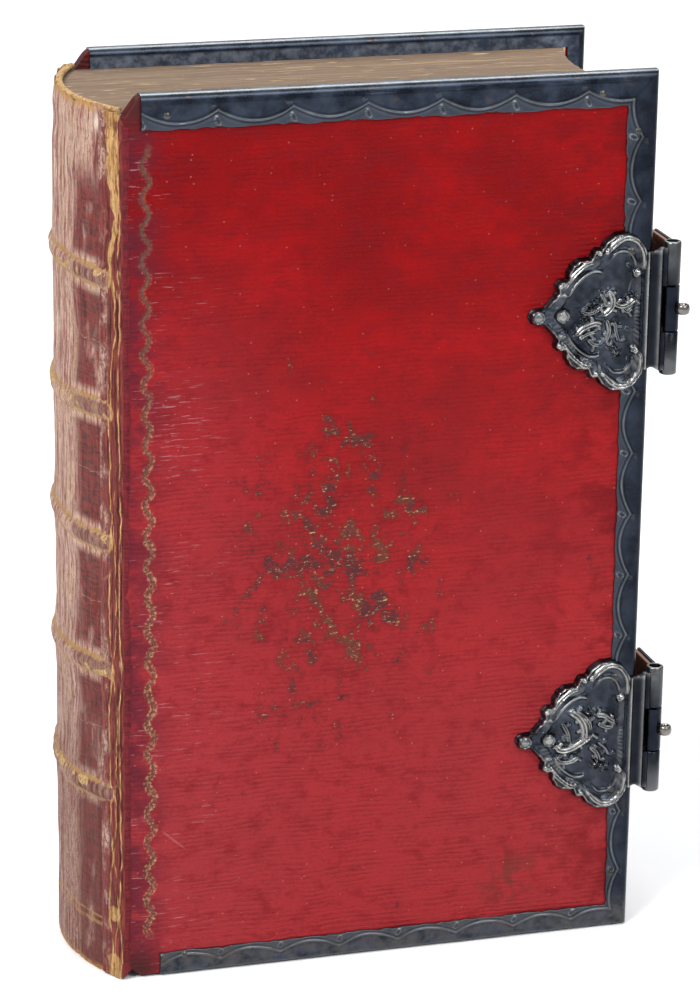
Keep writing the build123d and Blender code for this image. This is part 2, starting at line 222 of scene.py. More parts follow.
def placed(name, data):
    """A new object in the scene."""
    thing = bpy.data.objects.new(name, data)
    bpy.context.scene.collection.objects.link(thing)
    return thing


def piece(name, shells, body, material, replaces=(), back=False, sharp=40, blend=None):
    """One Blender object from closed shells in book millimetres, riding on a body."""
    all_points, all_faces, names, start = [], [], set(), 0
    for points, faces, fields in shells:
        if back:
            points = points * np.array([1, -1, 1])
        all_points.append(points)
        all_faces.append(turned_out(points, faces) + start)
        start += len(points)
        names |= set(fields)
    points = (np.concatenate(all_points) + ORIGIN) * MM
    mesh = bpy.data.meshes.new(name)
    mesh.from_pydata(points.tolist(), [], np.concatenate(all_faces).tolist())
    mesh.validate()
    for field in sorted(names):
        parts = [np.broadcast_to(fields.get(field, 0.0), len(p)) for p, _, fields in shells]
        attribute = mesh.attributes.new(field, "FLOAT", "POINT")
        attribute.data.foreach_set("value", np.concatenate(parts).astype(np.float32))
    mesh.shade_smooth()
    mesh.set_sharp_from_angle(angle=math.radians(sharp))
    mesh.materials.append(material)
    thing = placed(name, mesh)
    if blend:
        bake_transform(thing)
    else:
        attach(thing, body)
    if replaces:
        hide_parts(*replaces)


# ---- material writing ------------------------------------------------------------------
def rgb(red, green, blue):
    """A linear colour from display values of 0 to 255."""
    values = [v / 255 for v in (red, green, blue)]
    linear = [v / 12.92 if v <= 0.04045 else ((v + 0.055) / 1.055) ** 2.4 for v in values]
    return (*linear, 1.0)


class Look:
    """Writes one material's nodes. What it works out is handed on as output sockets."""

    def __init__(self, name, **shader):
        self.material = bpy.data.materials.new(name)
        self.material.use_nodes = True
        self.tree = self.material.node_tree
        self.shader = self.tree.nodes["Principled BSDF"]
        for socket, value in shader.items():
            self.shader.inputs[socket.replace("_", " ")].default_value = value
        place = self.node("ShaderNodeTexCoord").outputs["Object"]
        self.mm = self.vector("MULTIPLY_ADD", place, (1 / MM,) * 3, tuple(-ORIGIN))
        self.axes = self.node("ShaderNodeSeparateXYZ", Vector=self.mm).outputs

    def node(self, kind, **inputs):
        made = self.tree.nodes.new(kind)
        for name, value in inputs.items():
            self.join(made.inputs[name], value)
        return made

    def join(self, socket, value):
        if isinstance(value, bpy.types.NodeSocket):
            self.tree.links.new(value, socket)
        else:
            socket.default_value = value

    def worked(self, kind, operation, values):
        """The first output of a node that does one operation on some values."""
        made = self.node(kind)
        made.operation = operation
        for socket, value in zip(made.inputs, values):
            self.join(socket, value)
        return made.outputs[0]

    def vector(self, operation, *values):
        return self.worked("ShaderNodeVectorMath", operation, values)

    def maths(self, operation, *values):
        return self.worked("ShaderNodeMath", operation, values)

    def field(self, name):
        made = self.node("ShaderNodeAttribute")
        made.attribute_name = name
        return made.outputs["Fac"]

    def noise(self, stretch, detail=3.0, roughness=0.5, distortion=0.0):
        """Noise whose grain is 1 / stretch millimetres along each axis."""
        place = self.vector("MULTIPLY", self.mm, stretch)
        settings = {"Detail": detail, "Roughness": roughness, "Distortion": distortion}
        made = self.node("ShaderNodeTexNoise", Vector=place, Scale=1.0, **settings)
        return made.outputs["Fac"]

    def cells(self, stretch):
        """The distance to scattered points, one to each 1 / stretch millimetres."""
        place = self.vector("MULTIPLY", self.mm, stretch)
        return self.node("ShaderNodeTexVoronoi", Vector=place, Scale=1.0).outputs["Distance"]

    def between(self, value, low, high, out_low=0.0, out_high=1.0):
        """Value from low to high, mapped smoothly to out_low to out_high."""
        made = self.node("ShaderNodeMapRange", Value=value)
        made.interpolation_type = "SMOOTHSTEP"
        limits = {"From Min": low, "From Max": high, "To Min": out_low, "To Max": out_high}
        for name, limit in limits.items():
            made.inputs[name].default_value = limit
        return made.outputs["Result"]

    def apart(self, a, b):
        """How far two values are from each other."""
        return self.maths("ABSOLUTE", self.maths("SUBTRACT", a, b))

    def near(self, axis, centre, reach):
        """1 at a place along an axis (0, 1 or 2), falling to 0 at the reach."""
        return self.between(self.apart(self.axes[axis], centre), 0.0, reach, 1.0, 0.0)

    def times(self, *values):
        return reduce(lambda a, b: self.maths("MULTIPLY", a, b), values)

    def add(self, *values):
        return reduce(lambda a, b: self.maths("ADD", a, b), values)

    def mix(self, share, low, high):
        made = self.node("ShaderNodeMix")
        made.data_type = "RGBA"
        colours = [socket for socket in made.inputs if socket.type == "RGBA"]
        self.join(made.inputs[0], share)
        self.join(colours[0], low)
        self.join(colours[1], high)
        return made.outputs[2]

    def coat(self, tint, *shares):
        """Lay a tint over the colour so far, by the product of the shares."""
        self.colour = self.mix(self.times(*shares), self.colour, tint)

    def finish(self, roughness=None, relief=()):
        """Join the shader up. Relief is a list of (height, depth in millimetres)."""
        normal = {}
        for height, depth in relief:
            made = self.node("ShaderNodeBump", Height=height, Distance=depth * MM, **normal)
            normal = {"Normal": made.outputs["Normal"]}
        settings = {"Base Color": self.colour, **normal}
        if roughness is not None:
            settings["Roughness"] = roughness
        for socket, value in settings.items():
            self.join(self.shader.inputs[socket], value)
        return self.material


# ---- materials -------------------------------------------------------------------------
# The x and z of the one slanting scratch low on the cover.
SCRATCH = (11.0, 30.7)


def red_morocco(name):
    """Straight-grained red goatskin, rubbed and stained, with a tooled wavy line and painted glints on its
    grain.
    """
    look = Look(name, Specular_IOR_Level=0.08)
    x, _, z = look.axes
    sway = look.noise((0.045, 0.045, 0.10), 2.0)
    ripple = look.noise((0.50, 0.50, 0.85), 4.0, 0.6)
    phase = look.add(look.times(z, 5.9), look.times(sway, 16.0), look.times(ripple, 7.0))
    grain = look.maths("MULTIPLY_ADD", look.maths("SINE", phase), 0.5, 0.5)
    strength = look.between(look.noise((0.13, 0.13, 0.22), 4.0, 0.65), 0.38, 0.62, 0.10, 1.0)
    ridges = look.times(grain, strength)
    pebble = look.noise((1.3, 1.3, 3.4), 3.0, 0.6)
    cloud = look.noise((0.035, 0.035, 0.05), 4.0, 0.6)
    patch = look.noise((0.11, 0.11, 0.16), 4.0, 0.65)
    look.colour = look.mix(look.between(cloud, 0.3, 0.7), rgb(112, 3, 6), rgb(142, 5, 8))
    look.coat(rgb(92, 4, 10), look.between(patch, 0.52, 0.72, 0.0, 0.35))
    low = look.between(z, 165.0, 30.0, 0.0, 0.75)
    look.coat(rgb(148, 46, 50), low)
    look.coat(rgb(146, 52, 58), look.between(x, 50.0, 5.0, 0.0, 0.4), look.between(z, 175.0, 110.0))
    look.coat(rgb(64, 4, 8), look.between(grain, 0.45, 0.05), strength, 0.24)
    look.coat(rgb(84, 8, 14), look.between(pebble, 0.46, 0.32, 0.0, 0.30))
    look.coat(rgb(158, 40, 40), look.between(pebble, 0.55, 0.72, 0.0, 0.2))
    clouded = look.between(look.noise((0.24, 0.24, 0.36), 5.0, 0.68), 0.48, 0.70, 0.0, 0.45)
    look.coat(rgb(104, 12, 22), clouded)
    joint_side = look.between(x, 13.0, 1.0)
    bruise = look.between(patch, 0.34, 0.6)
    look.coat(rgb(74, 24, 38), joint_side, bruise, 0.8)
    right_side = look.times(look.between(x, 80.0, 108.0), look.between(patch, 0.44, 0.62))
    look.coat(rgb(92, 6, 12), right_side, 0.55)
    middle = look.times(look.near(0, 46.0, 36.0), look.near(2, 92.0, 66.0))
    spots = look.noise((0.23, 0.23, 0.20), 6.0, 0.72, 0.2)
    mottled = look.add(spots, look.times(middle, 0.22))
    look.coat(rgb(84, 14, 18), look.between(mottled, 0.60, 0.72), look.between(middle, 0.0, 0.3), 0.3)
    stain = look.times(look.between(mottled, 0.69, 0.735), look.between(middle, 0.02, 0.25))
    tint = look.mix(look.between(patch, 0.42, 0.58), rgb(58, 42, 44), rgb(84, 56, 44))
    look.coat(tint, stain, 0.72)
    satellite = look.times(
        look.between(look.noise((0.16, 0.16, 0.17), 4.0, 0.6, 0.2), 0.66, 0.76), look.between(low, 0.1, 0.3)
    )
    look.coat(rgb(62, 26, 34), satellite, 0.7)
    flaked = look.times(stain, look.between(look.noise((1.1, 1.1, 2.6), 4.0, 0.7), 0.57, 0.66))
    look.coat(rgb(186, 150, 104), flaked, 0.85)
    corner = look.times(look.near(0, 86.0, 12.0), look.near(2, 14.0, 10.0), look.between(spots, 0.46, 0.56))
    look.coat(rgb(96, 44, 38), corner, 0.7)
    # Painted highlights: short pale horizontal glints on the grain near the joint, stronger in one patch at
    # mid height.
    glint_strokes = look.noise((0.22, 0.3, 2.4), 3.0, 0.6)
    painted_glints = look.times(look.between(glint_strokes, 0.62, 0.70), look.between(x, 30.0, 6.0))
    painted_glints = look.times(painted_glints, look.between(look.noise((0.05, 0.05, 0.06)), 0.46, 0.60))
    glint_patch = look.times(look.near(0, 12.0, 8.0), look.near(2, 122.0, 15.0), look.between(glint_strokes, 0.58, 0.66))
    painted_glints = look.maths("MAXIMUM", painted_glints, glint_patch)
    look.coat(rgb(180, 140, 148), painted_glints, 0.5)
    fleck = look.between(look.cells((0.34, 0.34, 0.42)), 0.075, 0.05)
    look.coat(rgb(190, 120, 108), fleck, 0.4)
    from_x = look.maths("SUBTRACT", x, SCRATCH[0])
    from_z = look.maths("SUBTRACT", z, SCRATCH[1])
    across = look.maths("ABSOLUTE", look.add(look.times(from_x, 0.67), look.times(from_z, 0.74)))
    along = look.maths("ABSOLUTE", look.add(look.times(from_x, 0.74), look.times(from_z, -0.67)))
    scratch = look.times(look.between(across, 0.30, 0.10), look.between(along, 3.6, 2.4))
    look.coat(rgb(166, 96, 98), scratch, 0.45)
    ends = look.add(look.between(z, 9.0, 2.0), look.between(z, 180.0, 186.0))
    worn = look.times(look.between(x, 9.0, 4.0), ends, look.between(patch, 0.2, 0.5, 0.5, 1.0))
    look.coat(rgb(66, 30, 30), worn, 0.9)
    groove, edge = look.field("groove"), look.field("groove_edge")
    dusty = look.noise((1.0, 1.0, 1.0), 3.0, 0.7)
    look.coat(rgb(88, 68, 60), groove, look.between(dusty, 0.3, 0.6, 0.55, 0.95))
    speckle = look.between(look.noise((1.6, 1.6, 1.6), 3.0, 0.7), 0.50, 0.58)
    gold_left = look.times(
        look.add(edge, look.times(groove, 0.5)), speckle, look.between(z, 165.0, 80.0, 0.2, 1.0)
    )
    look.coat(rgb(186, 146, 104), gold_left, 0.75)
    rough = look.between(look.add(ridges, cloud), 0.5, 1.4, 0.36, 0.46)
    rough = look.add(rough, look.times(stain, 0.2))
    return look.finish(rough, [(cloud, 0.5), (ridges, 0.12), (pebble, 0.12)])


def faded_spine():
    """Rubbed and faded spine leather with the remains of gilt fillets at its bands, and a painted glint
    near the head cap.
    """
    look = Look("spine leather", Specular_IOR_Level=0.22)
    z = look.axes[2]
    arc, band = look.field("arc"), look.field("band")
    streak = look.noise((0.9, 1.15, 0.07), 5.0, 0.72)
    thread = look.noise((2.6, 3.2, 0.30), 4.0, 0.7, 0.6)
    crease = look.noise((1.4, 1.7, 0.9), 5.0, 0.75, 1.0)
    patch = look.noise((0.10, 0.12, 0.05), 3.0, 0.55)
    grain = look.noise((0.35, 0.4, 1.7), 2.0, 0.5)
    look.colour = look.mix(look.between(streak, 0.38, 0.60), rgb(150, 88, 78), rgb(230, 200, 182))
    look.coat(rgb(106, 46, 42), look.between(thread, 0.49, 0.38, 0.0, 0.75))
    look.coat(rgb(112, 60, 54), look.between(crease, 0.45, 0.36, 0.0, 0.7))
    look.coat(rgb(214, 188, 170), look.between(crease, 0.57, 0.66, 0.0, 0.7))
    tan = look.times(look.between(streak, 0.50, 0.60), look.between(patch, 0.34, 0.5))
    look.coat(rgb(176, 134, 84), tan, look.between(thread, 0.4, 0.55), 0.8)
    away = look.maths("ABSOLUTE", band)
    side = look.times(look.between(arc, 8.0, 13.0), look.between(z, 178.0, 168.0))
    panel = look.between(away, 2.6, 4.6)
    red = look.times(side, look.between(look.add(patch, look.times(streak, 0.4)), 0.50, 0.62))
    panel_red = look.mix(look.between(grain, 0.35, 0.6), rgb(74, 24, 26), rgb(122, 32, 32))
    look.coat(panel_red, red, panel, 0.92)
    maroon = look.times(look.between(z, 100.0, 24.0), look.between(crease, 0.3, 0.6, 1.0, 0.4))
    look.coat(rgb(98, 52, 46), maroon, 0.85)
    look.coat(rgb(92, 34, 32), look.between(away, 2.0, 1.0), side, 0.6)
    broken = look.between(look.noise((0.5, 0.6, 0.5), 4.0, 0.7), 0.34, 0.52)
    line = look.between(look.apart(away, 1.95), 0.62, 0.22)
    look.coat(rgb(178, 136, 76), line, broken, 0.85)
    for height, width in ((12.2, 0.35), (10.6, 0.55)):
        line = look.between(look.apart(z, height), width, width * 0.5)
        look.coat(rgb(170, 128, 72), line, broken, 0.75)
    rubbed = look.add(
        look.field("edge"), look.times(look.between(away, 1.4, 0.2), look.between(streak, 0.5, 0.64), 0.4)
    )
    rubbed = look.times(rubbed, look.between(look.noise((0.5, 0.5, 0.8), 4.0, 0.7), 0.3, 0.5))
    look.coat(rgb(190, 142, 80), rubbed)
    # Near the head cap: a dark red patch in the leather, and above it a pale patch that is a painted glint
    # (painted highlight).
    cap = look.between(look.apart(arc, 19.5), 3.2, 1.0)
    look.coat(rgb(104, 22, 26), cap, look.near(2, 176.5, 6.5), 0.85)
    look.coat(rgb(236, 222, 208), cap, look.near(2, 183.5, 2.6), 0.9)
    rough = look.between(streak, 0.3, 0.7, 0.66, 0.5)
    return look.finish(rough, [(streak, 0.7), (thread, 0.25), (crease, 0.35), (grain, 0.12)])


def cracked_joint():
    """The split and flayed leather over a joint."""
    look = Look("joint leather", Specular_IOR_Level=0.2)
    fibre = look.noise((2.2, 2.2, 0.22), 4.0, 0.7, 0.4)
    fine = look.noise((3.0, 3.0, 1.2), 3.0, 0.7)
    patch = look.noise((0.15, 0.2, 0.12), 4.0, 0.65)
    crease = look.noise((1.6, 1.9, 0.9), 4.0, 0.7, 0.8)
    grain = look.noise((0.35, 0.4, 2.0), 3.0, 0.6)
    red = look.mix(look.between(fibre, 0.35, 0.65), rgb(84, 26, 28), rgb(138, 62, 54))
    faded = look.mix(look.between(crease, 0.4, 0.6), rgb(112, 66, 60), rgb(186, 148, 132))
    red = look.mix(look.times(look.field("spine_side"), look.between(patch, 0.46, 0.60)), red, faded)
    tan = look.mix(look.between(fibre, 0.34, 0.66), rgb(142, 98, 56), rgb(206, 166, 112))
    tan = look.mix(look.between(fine, 0.54, 0.66, 0.0, 0.7), tan, rgb(112, 72, 54))
    plain = look.mix(look.between(grain, 0.36, 0.62), rgb(84, 18, 26), rgb(118, 26, 36))
    look.colour = look.mix(look.field("cover_side"), red, plain)
    look.coat(tan, look.between(look.field("flay"), 0.35, 0.6))
    look.coat(rgb(44, 14, 14), look.field("crack"))
    rough = look.between(look.field("flay"), 0.2, 0.6, 0.42, 0.85)
    return look.finish(rough, [(fibre, 0.5), (fine, 0.2), (crease, 0.2), (grain, 0.2)])


def tarnished_silver(
    name="tarnished silver", dark=(32, 37, 46), light=(60, 68, 82), bright=(158, 162, 164)
):
    """Old silver, dark in its fields and polished by handling on its high places."""
    look = Look(name, Metallic=1.0)
    tarnish = look.noise((0.16, 0.16, 0.16), 4.0, 0.6)
    speck = look.noise((2.4, 2.4, 2.4), 4.0, 0.7)
    scratch = look.noise((0.5, 0.5, 5.0), 3.0, 0.6)
    high, low = look.field("high"), look.field("low")
    look.colour = look.mix(look.between(tarnish, 0.3, 0.7), rgb(*dark), rgb(*light))
    look.coat(rgb(100, 106, 110), look.between(speck, 0.60, 0.72, 0.0, 0.4))
    brown = look.noise((0.4, 0.4, 0.4), 4.0, 0.7)
    look.coat(rgb(92, 78, 64), look.between(brown, 0.56, 0.72, 0.0, 0.45))
    polish = look.times(high, look.between(brown, 0.25, 0.6, 1.0, 0.55))
    look.coat(rgb(*bright), polish)
    look.coat(rgb(14, 15, 19), low, 0.75)
    matte, inside = look.field("matte"), look.field("inside")
    flat = look.times(matte, look.maths("SUBTRACT", 0.65, look.times(look.add(high, low), 0.6)))
    look.coat(rgb(72, 78, 88), flat)
    mottle = look.between(look.noise((0.35, 0.35, 0.35), 4.0, 0.7), 0.36, 0.66)
    flecked = look.mix(mottle, rgb(70, 80, 98), rgb(132, 142, 158))
    look.coat(flecked, inside, 0.85)
    shaded = look.times(
        look.between(look.axes[0], 104.0, 114.0, 0.0, 0.7), look.maths("SUBTRACT", 1.0, high)
    )
    look.coat(rgb(20, 22, 28), shaded)
    foot = look.times(look.between(look.axes[2], 9.0, 3.0, 0.0, 0.5), look.between(brown, 0.3, 0.6))
    look.coat(rgb(96, 94, 92), foot)
    rough = look.add(
        look.between(tarnish, 0.3, 0.7, 0.24, 0.36), look.times(low, 0.2), look.times(matte, 0.14)
    )
    rough = look.add(rough, look.times(inside, 0.25))
    return look.finish(rough, [(tarnish, 0.08), (speck, 0.03), (scratch, 0.01)])


def leaf_edges():
    """The darkened edges of many leaves, streaked where they have parted."""
    look = Look("leaf edges", Roughness=0.85, Specular_IOR_Level=0.2)
    leaves = look.noise((0.012, 7.0, 0.012), 3.0, 0.7)
    group = look.noise((0.02, 0.55, 0.02), 4.0, 0.6)
    grime = look.noise((0.06, 0.3, 0.06), 4.0, 0.65)
    tear = look.noise((0.12, 2.2, 0.12), 3.0, 0.6)
    look.colour = look.mix(look.between(leaves, 0.3, 0.7), rgb(92, 76, 64), rgb(146, 124, 104))
    look.coat(rgb(150, 122, 92), look.between(group, 0.5, 0.7, 0.0, 0.45))
    look.coat(rgb(86, 68, 54), look.between(grime, 0.5, 0.75, 0.0, 0.55))
    look.coat(rgb(212, 184, 144), look.between(tear, 0.62, 0.70, 0.0, 0.75))
    look.coat(rgb(214, 184, 134), look.field("gap"))
    foxing = look.noise((0.05, 0.05, 0.05), 5.0, 0.6)
    page = look.mix(look.between(foxing, 0.3, 0.7), rgb(204, 188, 156), rgb(178, 156, 120))
    look.coat(page, look.field("page"))
    return look.finish(relief=[(leaves, 0.20), (group, 0.2)])


def old_paper(name, light, dark):
    """Old laid paper with foxing."""
    look = Look(name, Roughness=0.9, Specular_IOR_Level=0.2)
    cloud = look.noise((0.03, 0.03, 0.03), 5.0, 0.6)
    laid = look.noise((0.05, 0.05, 1.6), 2.0, 0.5)
    fox = look.noise((0.16, 0.16, 0.16), 3.0, 0.5)
    look.colour = look.mix(look.between(cloud, 0.3, 0.7), light, dark)
    look.coat(dark, look.between(laid, 0.4, 0.6, 0.0, 0.10))
    look.coat(rgb(150, 104, 62), look.between(fox, 0.66, 0.78, 0.0, 0.5))
    return look.finish(relief=[(laid, 0.03), (cloud, 0.2)])


def strap_hide():
    """Dark red-brown strap leather, creased and rubbed at its edges."""
    look = Look("strap leather", Specular_IOR_Level=0.4)
    grain = look.noise((1.2, 1.2, 1.2), 4.0, 0.6)
    crease = look.noise((0.3, 0.9, 0.25), 3.0, 0.6)
    look.colour = look.mix(look.between(grain, 0.3, 0.7), rgb(60, 16, 18), rgb(96, 30, 28))
    look.coat(rgb(122, 62, 48), look.between(crease, 0.55, 0.7, 0.0, 0.6))
    look.coat(rgb(128, 82, 56), look.field("edge"))
    return look.finish(look.between(grain, 0.3, 0.7, 0.42, 0.6), [(grain, 0.18), (crease, 0.2)])


def thread_roll():
    """Sewn thread over a roll, and the hemp of the cords."""
    look = Look("thread", Roughness=0.9)
    wound = look.noise((1.5, 4.0, 1.5), 3.0, 0.6)
    look.colour = look.mix(look.between(wound, 0.35, 0.65), rgb(128, 92, 56), rgb(190, 160, 112))
    return look.finish(relief=[(wound, 0.15)])


SILVER = tarnished_silver()
BRIGHT_SILVER = tarnished_silver("handled silver", (96, 96, 94), (132, 128, 120), (186, 182, 174))
CAST_SILVER = tarnished_silver("cast silver", (38, 42, 50), (72, 78, 88), (186, 186, 182))
NAIL_SILVER = tarnished_silver("nail silver", (62, 62, 62), (92, 90, 84), (120, 118, 110))
RED = red_morocco("red morocco")
SPINE = faded_spine()
JOINT = cracked_joint()
LEAVES = leaf_edges()
ENDPAPER = old_paper("endpaper", rgb(206, 190, 156), rgb(184, 162, 124))
PASTEBOARD = old_paper("pasteboard", rgb(150, 132, 104), rgb(118, 100, 78))
STRAP = strap_hide()
THREAD = thread_roll()


# ---- covers ----------------------------------------------------------------------------
LINE_X = 5.6
LINE_SWING = 0.75
LINE_PITCH = 6.6
LINE_ENDS = (8.5, 181.0)
CORNER_CUT_HEAD = 4.2
CORNER_CUT_TAIL = 2.6
# The cover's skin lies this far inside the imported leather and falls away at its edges.
SKIN_EASE = 0.10
SKIN_ROUND = 0.8
SKIN_DROP = 0.35
# The leather is sunk under the pastedown, except for this much round its edge.
BED_MARGIN = 0.4
BOARD_EASE = 0.35
PASTE_SHEET = 0.2
PASTE_SHIFT = [0, 0.05, 0]
FLY_SHEET = 0.14
FLY_SWELL = 0.05


def line_distance(x, z):
    """How far a place on the cover is from the tooled wavy line."""
    phase = 2 * math.pi * z / LINE_PITCH + 0.8 * np.sin(z / 21)
    swing = LINE_SWING * np.sin(phase)
    slope = LINE_SWING * 2 * math.pi / LINE_PITCH * np.cos(phase)
    jitter = 0.14 * random_line(z, 1.2, 9)
    return (x - LINE_X - swing - jitter - 0.5 * np.sin(z / 35)) / np.sqrt(1 + slope ** 2)


def corner_cuts(x):
    """How much lower the head corner and higher the tail corner is near the joint."""
    near_joint = 1 - smooth(0.0, 4.4, x)
    return CORNER_CUT_HEAD * near_joint, CORNER_CUT_TAIL * near_joint


def cover_skin():
    """The leather over the board."""
    xs = steps((0.25, 0.45), (3.4, 0.16), (8.0, 0.9), COVER_RIGHT)
    zs = steps((COVER_BOTTOM, 0.6), COVER_TOP)

    def place(x, z, w):
        outer = w > 0.5
        head, tail = corner_cuts(x)
        share = (z - COVER_BOTTOM) / (COVER_TOP - COVER_BOTTOM)
        tall = z - head * smooth(0.9, 1.0, share) + tail * (1 - smooth(0.0, 0.06, share))
        within = smooth(LINE_ENDS[0], LINE_ENDS[0] + 2, z)
        within = within * (1 - smooth(LINE_ENDS[1] - 3, LINE_ENDS[1], z))
        off = line_distance(x, z)
        groove = bump(off, 0.42) * within
        edge = bump(np.abs(off) - 0.58, 0.18) * within
        depth = 0.26 * groove - 0.06 * edge + 0.07 * lumps(x, z, 26, 3) + 0.03 * lumps(x, z, 7, 4)
        end = np.minimum(x, np.minimum(z - COVER_BOTTOM, COVER_TOP - z))
        depth = depth + SKIN_DROP * (1 - np.clip(end, 0, SKIN_ROUND) / SKIN_ROUND) ** 2
        under_paper = (x > PASTE_LOW[0] + BED_MARGIN) & (x < PASTE_HIGH[0] - BED_MARGIN)
        under_paper &= (z > PASTE_LOW[2] + BED_MARGIN) & (z < PASTE_HIGH[2] - BED_MARGIN)
        y = np.where(outer, -(LEATHER_Y - SKIN_EASE - depth), -INNER_Y - PAPER_BED * under_paper)
        return (x, y, tall), {"groove": groove * outer, "groove_edge": edge * outer}

    return lattice(xs, zs, place)


def board_block():
    """The pasteboard, with the corners at its joint side cut off."""
    xs = steps((BOARD_LOW[0] + 0.2, 0.5), (5.0, 12.0), BOARD_HIGH[0] - 0.05)
    zs = np.array([0.0, 0.05, 0.5, 0.95, 1.0])

    def place(x, v, w):
        head, tail = corner_cuts(x)
        low = BOARD_LOW[2] + tail + BOARD_EASE
        high = BOARD_HIGH[2] - head - BOARD_EASE
        y = BOARD_LOW[1] + BOARD_EASE + w * (BOARD_HIGH[1] - BOARD_LOW[1] - 0.4)
        return (x, y, low + v * (high - low)), {}

    return lattice(xs, zs, place)


def paper_sheet(low, high, thickness, swell, seed):
    """A thin flat sheet, a little wavy where swell says so."""
    us = np.linspace(0, 1, 60)
    vs = np.linspace(0, 1, 90)

    def place(u, v, w):
        x = low[0] + u * (high[0] - low[0])
        z = low[2] + v * (high[2] - low[2])
        middle = (low[1] + high[1]) / 2 + swell * lumps(x, z, 40, seed)
        return (x, middle + (w - 0.5) * thickness, z), {}

    return lattice(us, vs, place)


# ---- edge rails ------------------------------------------------------------------------
ARC_CUSP = 0.50
ARC_DEPTH = 0.34
RAIL_ROUND = 1.4
RAIL_FLANGE = 4.15
RAIL_STEP = 0.34
RAIL_ROW = 0.19
HEAD_RAIL_WIDTH = 7.2
TAIL_RAIL_WIDTH = 5.3
FORE_EDGE_HEAD_WIDTH = 6.9
HEAD_PITCH = 14.9
TAIL_PITCH = 13.4
# Where the drops and curls are: shares of the rail's width, and millimetres from a cusp.
LEAF_AT = 0.80
CURL_AT = 0.90
CURL_OUT = 0.95
CURL_RADIUS = 0.32


def rail_path(width):
    """The rail's outer section as (y, depth) and its inner section, both from the inside."""
    inner_y, outer_y = INNER_Y - RAIL_WALL, HALF
    turn = np.linspace(0, math.pi / 2, 6)
    flange = np.linspace(RAIL_FLANGE, RAIL_ROUND, 6)
    near = [(inner_y, d) for d in flange[:-1]]
    near += [(inner_y + RAIL_ROUND * (1 - math.cos(a)), RAIL_ROUND * (1 - math.sin(a))) for a in turn]
    far = [(outer_y - RAIL_ROUND * (1 - math.sin(a)), RAIL_ROUND * (1 - math.cos(a))) for a in turn]
    face = [(outer_y, d) for d in np.linspace(RAIL_ROUND, width, round(width / RAIL_ROW))[1:]]
    outer = np.array(near + far + face)
    inner = np.array([
        (
            min(max(y, INNER_Y + 0.02), LEATHER_Y - 0.02),
            d if d > RAIL_ROUND else max(d, RAIL_WALL + 0.02),
        )
        for y, d in outer
    ])
    return outer, inner


def rail_relief(along, depth, width, pitch, seed):
    """The chased ornament: swags between drops. Gives height, bright, dark and matt places."""
    cell = 2 * ((along / pitch) % 1) - 1
    swag = width * (ARC_CUSP + ARC_DEPTH * (1 - cell ** 2)) + 0.08 * lumps(along, depth, 9, seed)
    off = depth - swag
    first = bump(off, 0.24)
    second = bump(off - 0.85, 0.20) * (1 - smooth(width - 0.5, width, depth) * 0.5)
    panel = 1 - smooth(-0.5, 0.1, off)
    to_cusp = (1 - np.abs(cell)) * pitch / 2
    side = np.where(cell > 0, 1, -1) * to_cusp
    lean = side + 0.30 * (depth - LEAF_AT * width)
    around = np.hypot(lean / 0.62, (depth - LEAF_AT * width) / (0.155 * width))
    leaf = np.sqrt(np.clip(1 - around ** 2, 0, 1))
    vein = bump(around, 0.42)
    curl = 0
    for way in (-1, 1):
        from_curl = np.hypot(side + way * CURL_OUT, depth - CURL_AT * width)
        curl = curl + bump(from_curl - CURL_RADIUS, 0.15)
    spray = bump(np.abs(lean) - 0.30 - 0.32 * (0.44 * width - depth), 0.11)
    spray = spray * bump(depth - 0.40 * width, 0.5)
    dots = bump(np.hypot(lean, depth - 0.36 * width), 0.2)
    height = 0.26 * first + 0.08 * second + 0.12 * panel + 0.42 * leaf - 0.30 * vein
    height = height + 0.10 * curl + 0.12 * spray + 0.12 * dots + 0.03 * lumps(along, depth, 12, seed + 1)
    outline = bump(around - 0.85, 0.18)
    high = 0.5 * first + 0.2 * second + 0.9 * outline + 0.2 * curl + 0.3 * spray + 0.3 * dots
    low = bump(off + 0.5, 0.28) * 0.6 + 0.8 * bump(off - 0.42, 0.2) + vein * 0.7
    return height, np.clip(high, 0, 1), np.clip(low, 0, 1), smooth(0.2, 0.6, off)


